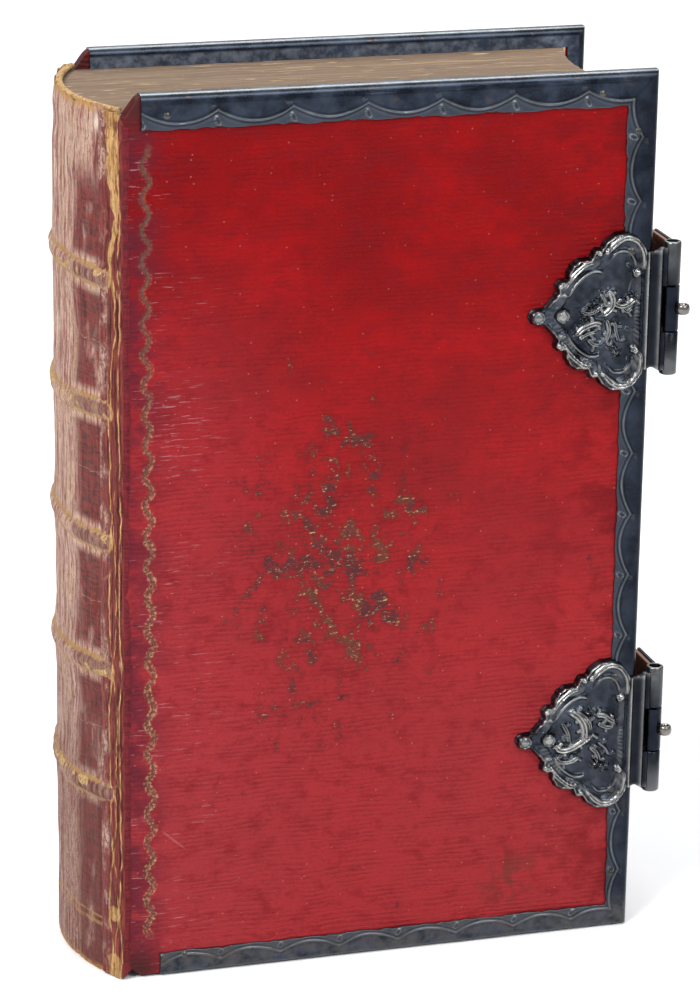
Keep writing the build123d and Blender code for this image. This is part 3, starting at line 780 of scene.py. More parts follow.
def rail_shell(length, width_start, width_end, pitch, mitres, to_book, seed):
    """A chased channel along one edge, mitred where mitres says (start, end)."""
    width = max(width_start, width_end)
    outer, inner = rail_path(width)
    count = max(1, round(length / pitch))
    step = length / count
    us = np.linspace(0, length, round(length / RAIL_STEP))
    numbers = np.arange(len(outer))
    last = len(outer) - 1

    def place(u, v, w):
        k = v.astype(int)
        local = width_start + (width_end - width_start) * u / length
        path = np.where((w > 0.5)[:, None], outer[k], inner[k])
        y, depth = path[:, 0].copy(), path[:, 1].copy()
        on_face = (outer[k][:, 0] >= HALF - 1e-6) & (outer[k][:, 1] > RAIL_ROUND)
        cell = 2 * ((u / step) % 1) - 1
        to_cusp = (1 - np.abs(cell)) * step / 2
        edge = local - 0.62 * cell ** 4 + 0.55 * bump(to_cusp, 0.8)
        edge = edge + 0.07 * lumps(u, u * 0, 3.5, seed)
        share = (depth - RAIL_ROUND) / (width - RAIL_ROUND)
        depth = np.where(on_face, RAIL_ROUND + share * (edge - RAIL_ROUND), depth)
        start = np.where(mitres[0], depth, 0.0)
        end = np.where(mitres[1], depth, 0.0)
        along = start + u / length * (length - start - end)
        height, high, low, matte = rail_relief(along, depth, local, step, seed)
        fade = smooth(RAIL_ROUND, RAIL_ROUND + 0.8, depth)
        lip = (k == last)
        raised = on_face & (w > 0.5)
        y = y + np.where(raised, height * fade - 0.12 * lip, 0.03 * lumps(along, y, 15, seed + 2))
        rim = np.where(w > 0.5, bump(depth, 0.5) * 0.35, 0.0)
        high = np.where(raised, np.clip(high * fade + 0.5 * lip, 0, 1), rim)
        fields = {"high": high, "inside": (k < 5) * (w > 0.5) * 1.0}
        fields["low"] = np.where(raised, low * fade, 0.0)
        fields["matte"] = np.where(raised, matte, 0.0)
        return to_book(along, y, depth), fields

    return lattice(us, numbers.astype(float), place)


def rails(side, back):
    """The three rails of one cover."""
    head_start = book_box(f"{side}_head_rail")[0][0]
    tail_start = book_box(f"{side}_tail_rail")[0][0]
    seed = 50 if back else 20

    def head(along, y, depth):
        return head_start + along, -y, HEIGHT - depth

    def tail(along, y, depth):
        return tail_start + along, -y, depth

    def fore(along, y, depth):
        return COVER_WIDTH - depth, -y, along

    shapes = {
        "head": rail_shell(
            COVER_WIDTH - head_start, HEAD_RAIL_WIDTH, HEAD_RAIL_WIDTH,
            HEAD_PITCH, (False, True), head, seed,
        ),
        "tail": rail_shell(
            COVER_WIDTH - tail_start, TAIL_RAIL_WIDTH, TAIL_RAIL_WIDTH,
            TAIL_PITCH, (False, True), tail, seed + 5,
        ),
        "fore_edge": rail_shell(
            HEIGHT, TAIL_RAIL_WIDTH, FORE_EDGE_HEAD_WIDTH, TAIL_PITCH, (True, True), fore, seed + 9
        ),
    }
    for name, shape in shapes.items():
        node = f"{side}_{name}_rail"
        piece(f"{node}_chased", [shape], f"{side}_cover", SILVER, (node,), back, 50)


# ---- clasp plates ----------------------------------------------------------------------
PLATE_RIGHT = 111.4
PLATE_CENTRE = (9.5, 0.0)
PLATE_BODY = [(0, 13.6), (8.5, 15.0), (12.0, 11.5), (17.0, 8.0), (22.5, 1.5)]
PLATE_LOBES = [(23.65, 0.0, 1.85), (18.4, 6.2, 1.5), (13.6, 8.1, 4.0), (10.6, 12.2, 1.9), (5.4, 12.0, 5.2)]
# Distances from mid thickness to the plate's ground and to its highest ornament.
PLATE_FIELD = 24.62
PLATE_PEAK = 26.1
PLATE_RAYS = 400
PLATE_RINGS = 92
PLATE_SCALLOPS = 44
STRIP_HALF = 12.6
STRIP_FACE = 25.25
STRIP_STEP = 113.2
TUBE_BORE = 1.2

# Ridges are (points, half width, height): u from the straight edge to the point, v upwards.
BORDER = [
    ([(9.6, 11.6), (7.9, 14.2), (5.2, 15.9), (2.6, 15.3), (0.9, 12.9), (0.6, 10.0), (1.6, 8.3)], 0.95, 1.0),
    ([(8.4, 11.0), (6.6, 12.9), (4.2, 12.8), (2.8, 11.0), (2.6, 9.0)], 0.5, 0.62),
    ([(1.6, 8.3), (2.5, 7.9), (2.7, 8.9)], 0.7, 0.85),
    ([(18.6, 5.2), (17.2, 7.2), (15.4, 9.3), (13.0, 11.0), (10.6, 11.2)], 0.8, 0.95),
    ([(17.2, 3.4), (16.3, 5.4), (14.4, 7.6), (12.2, 9.0), (10.3, 9.0), (9.9, 8.2)], 0.5, 0.7),
    ([(21.9, 1.5), (20.6, 3.2), (18.9, 4.4), (16.6, 4.1)], 0.6, 0.7),
]
BEADS = [(10.6, 12.9, 0.85, 1.0), (9.0, 13.1, 0.8, 0.95), (18.9, 6.4, 0.95, 0.95), (2.0, 8.4, 0.9, 1.0)]
FOLIAGE = {
    "upper": [
        ([(8.4, 5.2), (7.4, 3.0), (8.0, 0.8), (10.2, -0.6)], 0.75, 1.0),
        ([(10.3, 4.6), (9.0, 2.6), (8.6, 1.2)], 0.5, 0.8),
        ([(7.6, 2.6), (5.6, 1.4), (3.6, 2.0), (2.4, 3.1)], 0.65, 0.95),
        ([(5.2, 1.2), (4.2, 0.2), (3.0, 1.0)], 0.5, 0.8),
        ([(14.6, 1.0), (12.8, 0.2), (11.0, 0.6), (9.4, 1.8)], 0.5, 0.7),
        ([(15.6, -4.6), (13.6, -2.8), (11.2, -2.0), (9.4, -2.6)], 0.75, 0.95),
        ([(14.8, -5.4), (12.8, -4.2), (10.6, -3.8)], 0.5, 0.75),
        ([(8.6, -1.2), (8.0, -3.8), (8.8, -6.2)], 0.6, 0.8),
        ([(6.8, -1.6), (6.4, -4.2), (5.6, -6.4)], 0.5, 0.7),
        ([(12.6, -5.2), (11.4, -6.4), (9.8, -6.8)], 0.55, 0.75),
    ],
    "lower": [
        ([(14.4, 6.0), (12.2, 5.2), (10.6, 3.0), (10.2, 0.2), (11.0, -2.4)], 0.9, 0.95),
        ([(12.8, 6.2), (11.0, 5.2), (9.2, 3.2), (8.8, 0.8)], 0.55, 0.8),
        ([(15.4, 3.8), (14.0, 1.2), (13.6, -1.4)], 0.6, 0.7),
        ([(17.4, -1.2), (15.2, -2.6), (12.8, -2.2), (10.2, -0.8), (8.0, 0.6)], 0.8, 1.0),
        ([(8.0, 4.8), (6.0, 4.6), (4.4, 3.4), (3.2, 2.8)], 0.7, 0.9),
        ([(7.4, 3.0), (5.6, 2.0), (4.0, 1.6)], 0.6, 0.85),
        ([(17.0, -3.8), (15.2, -5.4), (12.8, -5.4), (11.0, -4.2)], 0.6, 0.75),
        ([(9.0, -2.4), (7.4, -3.8), (6.6, -5.8)], 0.6, 0.8),
        ([(7.2, -1.4), (5.4, -3.0), (4.4, -5.0)], 0.45, 0.65),
    ],
}
TUFTS = {
    "upper": [(2.6, 3.0), (9.8, 3.8), (13.0, -0.8), (7.6, -7.0), (11.6, 1.6), (6.2, -8.6), (12.4, -2.4)],
    "lower": [(3.6, 2.6), (8.6, 5.4), (14.6, -0.4), (7.4, -6.6), (12.0, -3.6), (5.4, -7.4), (16.2, -2.0)],
}


def along_curve(points, samples=26):
    """Places along a smooth curve through the points."""
    p = np.array([points[0]] + list(points) + [points[-1]], float)
    t = np.linspace(0, 1, samples, endpoint=False)[:, None]
    runs = []
    for a, b, c, d in zip(p[:-3], p[1:-2], p[2:-1], p[3:]):
        square, cube = 2 * a - 5 * b + 4 * c - d, 3 * b - a - 3 * c + d
        runs.append(0.5 * (2 * b + (c - a) * t + square * t ** 2 + cube * t ** 3))
    return np.concatenate(runs + [p[-1:]])


def ridge_height(u, v, points, half_width, height):
    """A rounded ridge along a curve, tapered at its ends and creased along its middle."""
    curve = along_curve(points)
    best = np.full(u.shape, 1e9)
    share = np.zeros(u.shape)
    for number, (cu, cv) in enumerate(curve):
        away = np.hypot(u - cu, v - cv)
        nearer = away < best
        best[nearer] = away[nearer]
        share[nearer] = number / (len(curve) - 1)
    taper = np.clip(np.minimum(share, 1 - share) * 6, 0.35, 1)
    width = half_width * taper
    round_top = np.sqrt(np.clip(1 - (best / width) ** 2, 0, 1))
    crease = 0.28 * bump(best, 0.16 * half_width) if half_width > 0.6 else 0.0
    skirt = 0.5 * bump(best, 1.8 * half_width)
    return height * taper ** 0.5 * np.clip(np.maximum(round_top - crease, skirt), 0, 1)


def leaflets(points, seed):
    """Short curved leaves set along both sides of a stem."""
    curve, made = along_curve(points), []
    rng = np.random.default_rng(seed)
    for number, k in enumerate(range(10, len(curve) - 4, 17)):
        way = curve[k + 1] - curve[k - 1]
        way = way / np.hypot(*way)
        turn = (1 if number % 2 else -1) * rng.uniform(0.7, 1.1)
        reach = rng.uniform(1.3, 1.9)
        for bend in (turn, turn * 1.6):
            c, s = math.cos(bend), math.sin(bend)
            spun = np.array([way[0] * c - way[1] * s, way[0] * s + way[1] * c])
            if bend == turn:
                middle = curve[k] + spun * reach * 0.6
            else:
                made.append([tuple(curve[k]), tuple(middle), tuple(middle + spun * reach * 0.5)])
    return made


def plate_height(u, v, edge, level):
    """The cast ornament's height from 0 to about 1, at a distance from the plate's outline."""
    rim = 0.30 * bump(edge - 0.6, 0.35) + 0.10
    band = 0.34 * (1 - smooth(2.3, 3.4, edge)) * smooth(0.9, 1.3, u) * (1 - smooth(19.6, 21.2, u))
    height = rim + band + 0.05 * lumps(u, v, 3.0, 7)
    for points, width, rise in BORDER:
        height = np.maximum(height, ridge_height(u, v, points, width, rise))
        mirrored = [(pu, -pv) for pu, pv in points]
        height = np.maximum(height, ridge_height(u, v, mirrored, width, rise * 0.95))
    for number, (points, width, rise) in enumerate(FOLIAGE[level]):
        height = np.maximum(height, ridge_height(u, v, points, 1.25 * width, rise))
        for leaf in leaflets(points, 60 + number):
            height = np.maximum(height, ridge_height(u, v, leaf, 0.6, rise * 0.75))
    for side in (1, -1):
        for bu, bv, radius, rise in BEADS:
            ball = np.sqrt(np.clip(1 - np.hypot(u - bu, v - side * bv) ** 2 / radius ** 2, 0, 1))
            height = np.maximum(height, rise * ball)
    for bu, radius, rise in ((18.2, 1.65, 0.85), (23.55, 1.7, 0.75)):
        away = np.hypot(u - bu, v)
        disc = rise * (1 - smooth(radius - 0.35, radius, away)) - 0.2 * bump(away - radius * 0.62, 0.18)
        height = np.maximum(height, disc)
    for number, (tu, tv) in enumerate(TUFTS[level]):
        away = np.hypot(u - tu, v - tv)
        turn = np.arctan2(v - tv, u - tu)
        petals = 1.15 + 0.35 * np.cos(5 * turn + number)
        tuft = np.sqrt(np.clip(1 - (away / petals) ** 2, 0, 1)) * (0.72 + 0.2 * np.cos(10 * turn + number))
        height = np.maximum(height, 0.85 * tuft)
    flutes = bump(edge - 1.9, 0.7) * (0.5 + 0.5 * np.cos(np.arctan2(v, u - PLATE_CENTRE[0]) * 64))
    return height + 0.10 * flutes * (v < 2)


def plate_radius(angle):
    """How far the plate's outline is from its centre in each direction."""
    du, dv = np.cos(angle), np.sin(angle)
    reach = np.zeros(angle.shape)
    cu, cv = PLATE_CENTRE
    ring = PLATE_BODY + [(u, -v) for u, v in reversed(PLATE_BODY)]
    for (u0, v0), (u1, v1) in zip(ring, ring[1:] + ring[:1]):
        eu, ev = u1 - u0, v1 - v0
        cross = du * ev - dv * eu
        safe = np.where(np.abs(cross) < 1e-9, 1e-9, cross)
        t = ((u0 - cu) * ev - (v0 - cv) * eu) / safe
        s = ((u0 - cu) * dv - (v0 - cv) * du) / safe
        reach = np.where((s >= -1e-6) & (s <= 1 + 1e-6) & (t > 0), np.maximum(reach, t), reach)
    for lobe_u, lobe_v, radius in PLATE_LOBES:
        for side in (1, -1):
            au, av = lobe_u - cu, side * lobe_v - cv
            forward = au * du + av * dv
            inside = radius ** 2 - (au * dv - av * du) ** 2
            far = forward + np.sqrt(np.clip(inside, 0, None))
            reach = np.where((inside > 0) & (far > reach), far, reach)
    return reach


def plate_shell(z0, level):
    """A cast cartouche plate, built as rings around its centre."""
    count = PLATE_RAYS
    angle = full_turn(count)
    reach = plate_radius(angle)
    soft = (np.roll(reach, 1) + 2 * reach + np.roll(reach, -1)) / 4
    reach = soft + 0.10 * np.cos(angle * PLATE_SCALLOPS) * (np.abs(np.sin(angle)) > 0.3)
    shares = np.linspace(0, 1, PLATE_RINGS)[1:] ** 0.85
    cu, cv = PLATE_CENTRE
    u = cu + shares[:, None] * reach * np.cos(angle)
    v = cv + shares[:, None] * reach * np.sin(angle)
    outline = np.stack([u[-1], v[-1]], -1)
    flat_u, flat_v = u.ravel(), v.ravel()
    edge = np.full(flat_u.shape, 1e9)
    for ou, ov in outline:
        np.minimum(edge, np.hypot(flat_u - ou, flat_v - ov), out=edge)
    height = plate_height(flat_u, flat_v, edge, level).reshape(u.shape)
    edge = edge.reshape(u.shape)
    fall = smooth(0.0, 0.55, edge)
    rise = PLATE_PEAK - PLATE_FIELD
    y = PLATE_FIELD - 0.35 * (1 - fall) + rise * height * fall
    middle_u = np.array([cu])
    middle = plate_height(middle_u, middle_u * 0 + cv, middle_u * 0 + 9.0, level)
    top = np.stack([PLATE_RIGHT - u, -y, z0 + v], -1).reshape(-1, 3)
    crown = np.array([[PLATE_RIGHT - cu, -(PLATE_FIELD + rise * middle[0]), z0 + cv]])
    base_y = LEATHER_Y - 0.15
    foot = np.stack([PLATE_RIGHT - u[-1], np.full(count, -base_y), z0 + v[-1]], -1)
    under = np.array([[PLATE_RIGHT - cu, -base_y, z0 + cv]])
    points = np.concatenate([top, foot, crown, under])
    rings = len(shares)
    index = np.arange(rings * count + count).reshape(rings + 1, count)
    quads = ring_quads(index)
    crown_at = (rings + 1) * count
    inner, outer = index[0], index[-1]
    half = count // 2
    first = [np.roll(inner, -2)[::2], inner[1::2], inner[::2], np.full(half, crown_at)]
    final = [outer[::2], outer[1::2], np.roll(outer, -2)[::2], np.full(half, crown_at + 1)]
    high = np.clip((height * fall - 0.42) * 1.75, 0, 1).ravel()
    low = np.clip(0.42 - height * 2.0, 0, 1).ravel() * 1.6
    tail = np.zeros(count + 2)
    fields = {"high": np.concatenate([high, tail]), "low": np.concatenate([low, tail])}
    return points, np.concatenate([quads, np.stack(first, -1), np.stack(final, -1)]), fields


def moulding(z0, low_z, high_z, low_x, high_x):
    """Part of the moulded strip between the plate and its tube."""
    xs = steps((low_x, 0.16), high_x)
    zs = steps((low_z, 0.8), high_z)

    def place(x, z, w):
        bead = 0.50 * bump(x - 111.7, 0.30)
        ridge = 0.42 * bump(x - 114.35, 0.42)
        hollow = 0.30 * bump(x - 113.0, 0.75) + 0.35 * bump(x - 115.2, 0.34)
        outer = STRIP_FACE + bead + ridge - hollow - 0.35 * smooth(115.6, 116.4, x)
        inner = np.where(x < STRIP_STEP, HALF - 0.05, HALF - 0.55)
        flare = 1 + 0.045 * smooth(113.6, 115.0, x) - 0.02 * bump(x - 113.1, 0.6)
        stretch = np.where(np.abs(z) > 12.0, flare, 1.0)
        outside = w > 0.5
        high = np.clip(bead * 1.9 + ridge * 1.2 + 0.5 * smooth(12.2, STRIP_HALF, np.abs(z)), 0, 1)
        fields = {"high": high * outside, "low": np.clip(hollow * 1.6, 0, 1) * outside}
        return (x, -np.where(outside, outer, inner), z0 + z * stretch), fields

    return lattice(xs, zs, place)


def tube_part(z0, near, far):
    """A tube from near its middle gap to its open mouth."""
    r, way = BARREL_RADIUS, (1 if far > near else -1)
    floor_at = far - 2.5 * way
    profile = [(0, near), (r - 0.25, near), (r, near + 0.25 * way), (r, far - 0.3 * way)]
    profile += [(r - 0.1, far - 0.1 * way), (r - 0.25, far), (TUBE_BORE + 0.12, far)]
    profile += [(TUBE_BORE + 0.02, far - 0.12 * way), (TUBE_BORE, floor_at), (0, floor_at)]
    points, faces, _ = lathe([(radius, z0 + z) for radius, z in profile], BARREL_X, -BARREL_Y)
    from_end = np.abs(np.abs(points[:, 2] - z0) - BARREL_HALF)
    from_axis = np.hypot(points[:, 0] - BARREL_X, points[:, 1] + BARREL_Y)
    inside = (from_axis < TUBE_BORE + 0.1) & (from_end > 0.05)
    return points, faces, {"high": 0.7 * bump(from_end, 0.5) * ~inside, "low": 1.0 * inside}


def clasp_plate(level, kind, back):
    """A cast plate with its moulded strip and tube, for the catch or the hinge."""
    z0 = CLASPS[level]
    gap = KNUCKLE_GAP if back else CATCH_GAP
    slot_x = BARREL_X - BARREL_RADIUS - 0.8
    web_x = BARREL_X - 1.0
    shells = [plate_shell(z0, level)]
    shells.append(moulding(z0, -STRIP_HALF, STRIP_HALF, PLATE_RIGHT - 0.5, slot_x))
    for low, high in ((-STRIP_HALF, -gap), (gap, STRIP_HALF)):
        shells.append(moulding(z0, low, high, slot_x - 0.02, web_x))
    shells += [tube_part(z0, gap, BARREL_HALF), tube_part(z0, -gap, -BARREL_HALF)]
    node = f"{level}_{kind}_plate"
    body = "back_cover" if back else "front_cover"
    piece(f"{node}_cast", shells, body, CAST_SILVER, (node,), back, 55)


# ---- spine and text block --------------------------------------------------------------
# A raised band's half width and height.
CREST_HALF = 2.3
CREST_RISE = 0.85
# The joint leather bends between plus and minus its reach, and starts this far back.
JOINT_REACH = 0.9
JOINT_LEVEL = 95
JOINT_BACK = -6.2
ROLL_SIDES = 8
RING_STOCK = 0.42
RING_HALF_HEIGHT = 1.05
STRAP_EDGE = np.array([0, 0.25, 0.7, 1.4, 1.9, 2.4])


def spine_shell():
    """The spine's leather over its five bands, worn down at the head."""
    arcs = np.linspace(-SPINE_ARC, SPINE_ARC, 190)
    heights = steps((0.0, 0.5), 187.0)
    heights = heights / heights[-1]

    def place(s, v, w):
        ragged = 0.35 * lumps(s, s * 0, 4.0, 11) + 0.25 * random_line(s, 0.5, 12)
        top = SPINE_TOP - 0.55 + np.clip(ragged, -0.55, 0.5) - 0.8 * smooth(21, SPINE_ARC, np.abs(s))
        z = v * top
        ends = 1 - smooth(20.5, 24.6, np.abs(s))
        nearest = np.full(z.shape, 1e3)
        for band in BANDS:
            away = z - band - 0.5 * np.sin(s / 9 + band)
            nearest = np.where(np.abs(away) < np.abs(nearest), away, nearest)
        over = np.clip(nearest / CREST_HALF, -1, 1)
        rise = CREST_RISE * np.cos(over * math.pi / 2) ** 1.1 * ends
        hollow = 0.22 * smooth(3.0, 9.0, np.abs(nearest))
        head = 0.5 * smooth(top - 5, top, z) + 0.35 * bump(z - top + 7, 3.0)
        wear = 0.10 * lumps(s, z * 0.12, 2.2, 14) + 0.12 * lumps(s, z * 0.6, 9.0, 15)
        radius = SPINE_RADIUS - 0.12 + rise - hollow - head + np.clip(wear, -0.3, 0.1)
        radius = np.where(w > 0.5, radius, SPINE_RADIUS - SPINE_SKIN)
        angle = s / SPINE_RADIUS
        x = np.minimum(SPINE_CENTRE - radius * np.cos(angle), 0.0)
        edge = smooth(top - 1.9, top - 0.3, z)
        edge = np.maximum(edge, 1 - smooth(0.2, 1.3, z))
        return (x, -radius * np.sin(angle), z), {"arc": s, "band": nearest, "edge": edge}

    return lattice(arcs, heights, place)


def joint_strip():
    """The leather over a joint, from the spine to the cover, split and flayed."""
    across = steps((JOINT_BACK, 0.17), (1.4, 0.2), 1.8)
    heights = np.linspace(0, 1, 480)

    def place(p, v, w):
        top = SPINE_TOP - 1.1 - 2.4 * smooth(-1.0, 1.2, p) + 0.3 * random_line(p, 0.6, 21)
        low = 0.15 + 1.6 * smooth(0.0, 1.4, p)
        z = low + v * (top - low)
        wander = 0.34 * lumps(z, z * 0, 15, 22) + 0.20 * random_line(z, 1.3, 23)
        arc = SPINE_ARC + np.minimum(p, -JOINT_REACH)
        angle = arc / SPINE_RADIUS
        ax, ay = SPINE_CENTRE - SPINE_RADIUS * np.cos(angle), -SPINE_RADIUS * np.sin(angle)
        nx, ny = -np.cos(angle), -np.sin(angle)
        bx, by = np.maximum(p, JOINT_REACH), -LEATHER_Y
        t = np.clip((p + JOINT_REACH) / (2 * JOINT_REACH), 0, 1)
        x = (1 - t) ** 2 * ax + t ** 2 * bx
        y = (1 - t) ** 2 * ay + 2 * t * (1 - t) * by + t ** 2 * by
        out_x, out_y = (1 - t) * nx, (1 - t) * ny - t
        size = np.hypot(out_x, out_y)
        head = smooth(140, 184, z)
        tear = 1 + 0.35 * lumps(z, p * 0, 7, 27) + 0.3 * random_line(z, 0.7, 28)
        tear = (0.26 + 1.8 * head ** 1.9) * tear * smooth(120, 140, z)
        flay = bump((p + 2.0 + 1.6 * wander) / (np.abs(tear) + 0.05), 0.85) * (tear > 0.02)
        left = 1 - smooth(0.10, 0.30, np.abs(p + 3.1 + wander))
        right = 1 - smooth(0.08, 0.26, np.abs(p + 0.45 + 0.6 * wander))
        middle = 1 - smooth(0.06, 0.22, np.abs(p + 1.7 - wander))
        middle = middle * (1 - smooth(96, 118, z))
        tail = (1 - smooth(4.0, 6.5, z)) + bump(z - 14.5, 2.0)
        tail = tail * bump(p + 2.3, 1.9)
        broken = 0.75 + 0.35 * lumps(z, p * 3, 6, 24)
        bands = sum(bump(z - band, 2.4) for band in BANDS) * bump(p + 3.0, 1.3) * 0.8
        thin = np.maximum(np.maximum(left * (1 - smooth(118, 150, z)), right), middle)
        flay = np.maximum.reduce([flay, thin * broken, tail, bands])
        crack = bump(p + 1.15 + wander, 0.16) * (1 - 0.8 * flay)
        crack = crack + 0.8 * bump(p + 3.75 + wander, 0.13) + 0.6 * bump(p + 0.05 + wander, 0.13)
        crack = crack + 0.7 * bump(p + 2.55 - 0.5 * wander, 0.10) * (1 - flay)
        crack = np.clip(crack * (0.7 + 0.4 * lumps(z, p, 8, 25)), 0, 1)
        ends = smooth(JOINT_BACK, JOINT_BACK + 1, p) * (1 - smooth(1.2, 1.8, p))
        rise = 0.16 * ends - 0.08 + 0.16 * flay * ends - 0.22 * crack
        rise = rise + 0.04 * lumps(p * 2, z, 3.0, 26)
        rise = np.where(w > 0.5, rise, -0.45)
        fields = {"flay": np.clip(flay, 0, 1), "crack": crack, "cover_side": smooth(0.1, 0.7, p)}
        fields["spine_side"] = 1 - smooth(-4.6, -2.6, p)
        return (x + rise * out_x / size, y + rise * out_y / size, z), fields

    return lattice(across, heights, place)


def leaves_shell():
    """The text block: rounded at the spine, hollow at the fore-edge, its leaves uneven."""
    half = TEXT_HIGH[1]
    hollow_radius = (half ** 2 + HOLLOW ** 2) / (2 * HOLLOW)
    hollow_x = TEXT_HIGH[0] - HOLLOW + hollow_radius
    inner_radius = SPINE_RADIUS - SPINE_SKIN - LINING
    us = steps((0.0, 0.025), 1.0)
    vs = np.linspace(-half, half, 230)
    ws = np.linspace(0, 1, 60)

    def place(u, y, w):
        start = SPINE_CENTRE - np.sqrt(inner_radius ** 2 - y ** 2)
        end = hollow_x - np.sqrt(hollow_radius ** 2 - y ** 2)
        uneven = 0.10 * random_line(y, 0.35, 31) + 0.10 * random_line(y, 2.2, 32)
        along = 0.08 * lumps(u * 60, y * 2, 9, 33)
        gap_line = bump(y - 10.5 - 2.0 * u, 0.22) * smooth(0.35, 0.6, u)
        second = bump(y + 3.2 + 1.5 * u, 0.16) * smooth(0.1, 0.3, u)
        second = second * (1 - smooth(0.5, 0.8, u))
        gap = np.maximum(gap_line, 0.6 * second)
        top = TEXT_HIGH[2] - 0.22 + uneven + along - 0.5 * gap
        low = TEXT_LOW[2] + 0.22 - uneven
        x = start + u * (end - start)
        x = x - (0.25 + uneven * 1.2 + 0.1 * lumps(w * 90, y, 12, 34)) * smooth(0.9, 1.0, u)
        at_top = w > 0.999
        page = (np.abs(y) > half - 0.02) & (u < 0.999)
        return (x, y, low + w * (top - low)), {"gap": gap * at_top * 0.8, "page": page * 1.0}

    return lattice(us, vs, place, ws)


def endband_shell(z_low, z_high):
    """A sewn roll with thread turns."""
    arcs = np.linspace(-SPINE_ARC * 0.93, SPINE_ARC * 0.93, 260)
    around = full_turn(ROLL_SIDES)
    middle, size = (z_low + z_high) / 2, (z_high - z_low) / 2 - 0.05
    angle, turn = np.meshgrid(arcs / SPINE_RADIUS, around, indexing="ij")
    roll = 1 + 0.12 * np.sin(angle * SPINE_RADIUS * 2 * math.pi / 0.8)
    radius = SPINE_RADIUS - SPINE_SKIN - 0.9 + 0.75 * roll * np.cos(turn)
    x = SPINE_CENTRE - radius * np.cos(angle)
    points = np.stack([x, -radius * np.sin(angle), middle + size * roll * np.sin(turn)], -1)
    index = np.arange(angle.size).reshape(angle.shape)
    after = np.roll(index, -1, 1)
    quads = np.stack([index[:-1], index[1:], after[1:], after[:-1]], -1).reshape(-1, 4)
    caps = []
    for row in (index[0], index[-1][::-1]):
        for k in range(1, ROLL_SIDES // 2):
            caps.append([row[k - 1], row[k], row[ROLL_SIDES - k - 1], row[ROLL_SIDES - k]])
    return points.reshape(-1, 3), np.concatenate([quads, np.array(caps)]), {}


def band_ring(level):
    """The thumb ring as a loop of broad stock."""
    low, high = book_box(f"{level}_thumb_ring")
    x, y, z = (low + high) / 2
    outer = (high[0] - low[0]) / 2
    around, turn = np.meshgrid(full_turn(36), full_turn(16), indexing="ij")
    radius = outer - RING_STOCK + RING_STOCK * np.cos(turn)
    px, py = x + radius * np.cos(around), y + radius * np.sin(around)
    points = np.stack([px, py, z + RING_HALF_HEIGHT * np.sin(turn)], -1)
    index = np.arange(around.size).reshape(around.shape)
    on, up = np.roll(index, -1, 0), np.roll(index, -1, 1)
    both = np.roll(on, -1, 1)
    quads = np.stack([index, on, both, up], -1).reshape(-1, 4)
    return points.reshape(-1, 3), quads, {"high": 0.6 * np.ones(around.size)}


def strap_shell(level):
    """A strap of thick leather with creased, rubbed edges."""
    low, high = book_box(f"{level}_strap")
    ys = np.linspace(low[1], high[1], 70)
    between = np.linspace(low[2] + 4, high[2] - 4, 16)
    zs = np.concatenate([low[2] + STRAP_EDGE, between, high[2] - STRAP_EDGE[::-1]])

    def place(y, z, w):
        from_edge = np.minimum(z - low[2], high[2] - z)
        thin = 0.45 * (1 - smooth(0.0, 0.9, from_edge)) + 0.16 * bump(from_edge - 1.9, 0.35)
        wave = 0.05 * lumps(y, z, 14, 41)
        x = np.where(w > 0.5, high[0] - thin + np.minimum(wave, 0), low[0] + thin * 0.6)
        return (x, y, z), {"edge": (1 - smooth(0.2, 0.9, from_edge)) * 0.8}

    return lattice(ys, zs, place)


# ---- build every piece -----------------------------------------------------------------
piece(
    "spine_leather_tooled",
    [spine_shell()],
    "book_block",
    SPINE,
    ("spine_leather",),
    sharp=60,
)
piece("leaves", [leaves_shell()], "book_block", LEAVES, ("text_block",), sharp=35)
for name in ("headband", "tailband"):
    low, high = book_box(name)
    shell = endband_shell(low[2], high[2])
    piece(f"{name}_sewn", [shell], "book_block", THREAD, (name,), sharp=70)

for side in ("front", "back"):
    back = side == "back"
    body = f"{side}_cover"
    piece(
        f"{side}_cover_morocco",
        [cover_skin()],
        body,
        RED,
        (f"{side}_cover_leather",),
        back,
        50,
    )
    piece(
        f"{side}_board_cut", [board_block()], body, PASTEBOARD, (f"{side}_board",), back, 40
    )
    paste = paper_sheet(PASTE_LOW + PASTE_SHIFT, PASTE_HIGH + PASTE_SHIFT, PASTE_SHEET, 0.0, 5)
    piece(f"{side}_pastedown_sheet", [paste], body, ENDPAPER, (f"{side}_pastedown",), back, 40)
    fly = paper_sheet(FLY_LOW, FLY_HIGH, FLY_SHEET, FLY_SWELL, 6)
    piece(
        f"{side}_flyleaf_sheet",
        [fly],
        f"{side}_flyleaf",
        ENDPAPER,
        (f"{side}_flyleaf",),
        back,
        40,
    )
    rails(side, back)
    joint_y = LEATHER_Y if back else -LEATHER_Y
    ends = [(x, joint_y, JOINT_LEVEL) for x in (-JOINT_REACH, JOINT_REACH)]
    across = ("book_block", body, *ends)
    piece(f"{side}_joint_leather", [joint_strip()], None, JOINT, (), back, 60, across)

for level in CLASPS:
    clasp_plate(level, "catch", False)
    clasp_plate(level, "hinge", True)
    ring = f"{level}_thumb_ring"
    piece(f"{ring}_band", [band_ring(level)], f"{level}_clasp", BRIGHT_SILVER, (ring,), sharp=60)
    piece(
        f"{level}_strap_hide",
        [strap_shell(level)],
        f"{level}_clasp",
        STRAP,
        (f"{level}_strap",),
    )


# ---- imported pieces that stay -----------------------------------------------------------
def keep(node, material, rounding=0.0):
    """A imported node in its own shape, with this material and softened edges."""
    thing = frame["nodes"][node]
    thing.data.materials.clear()
    thing.data.materials.append(material)
    if rounding:
        edge = thing.modifiers.new("softened edges", "BEVEL")
        edge.width = rounding * MM
        edge.segments = 3
        edge.limit_method = "ANGLE"
        edge.angle_limit = math.radians(35)
        edge.use_clamp_overlap = True


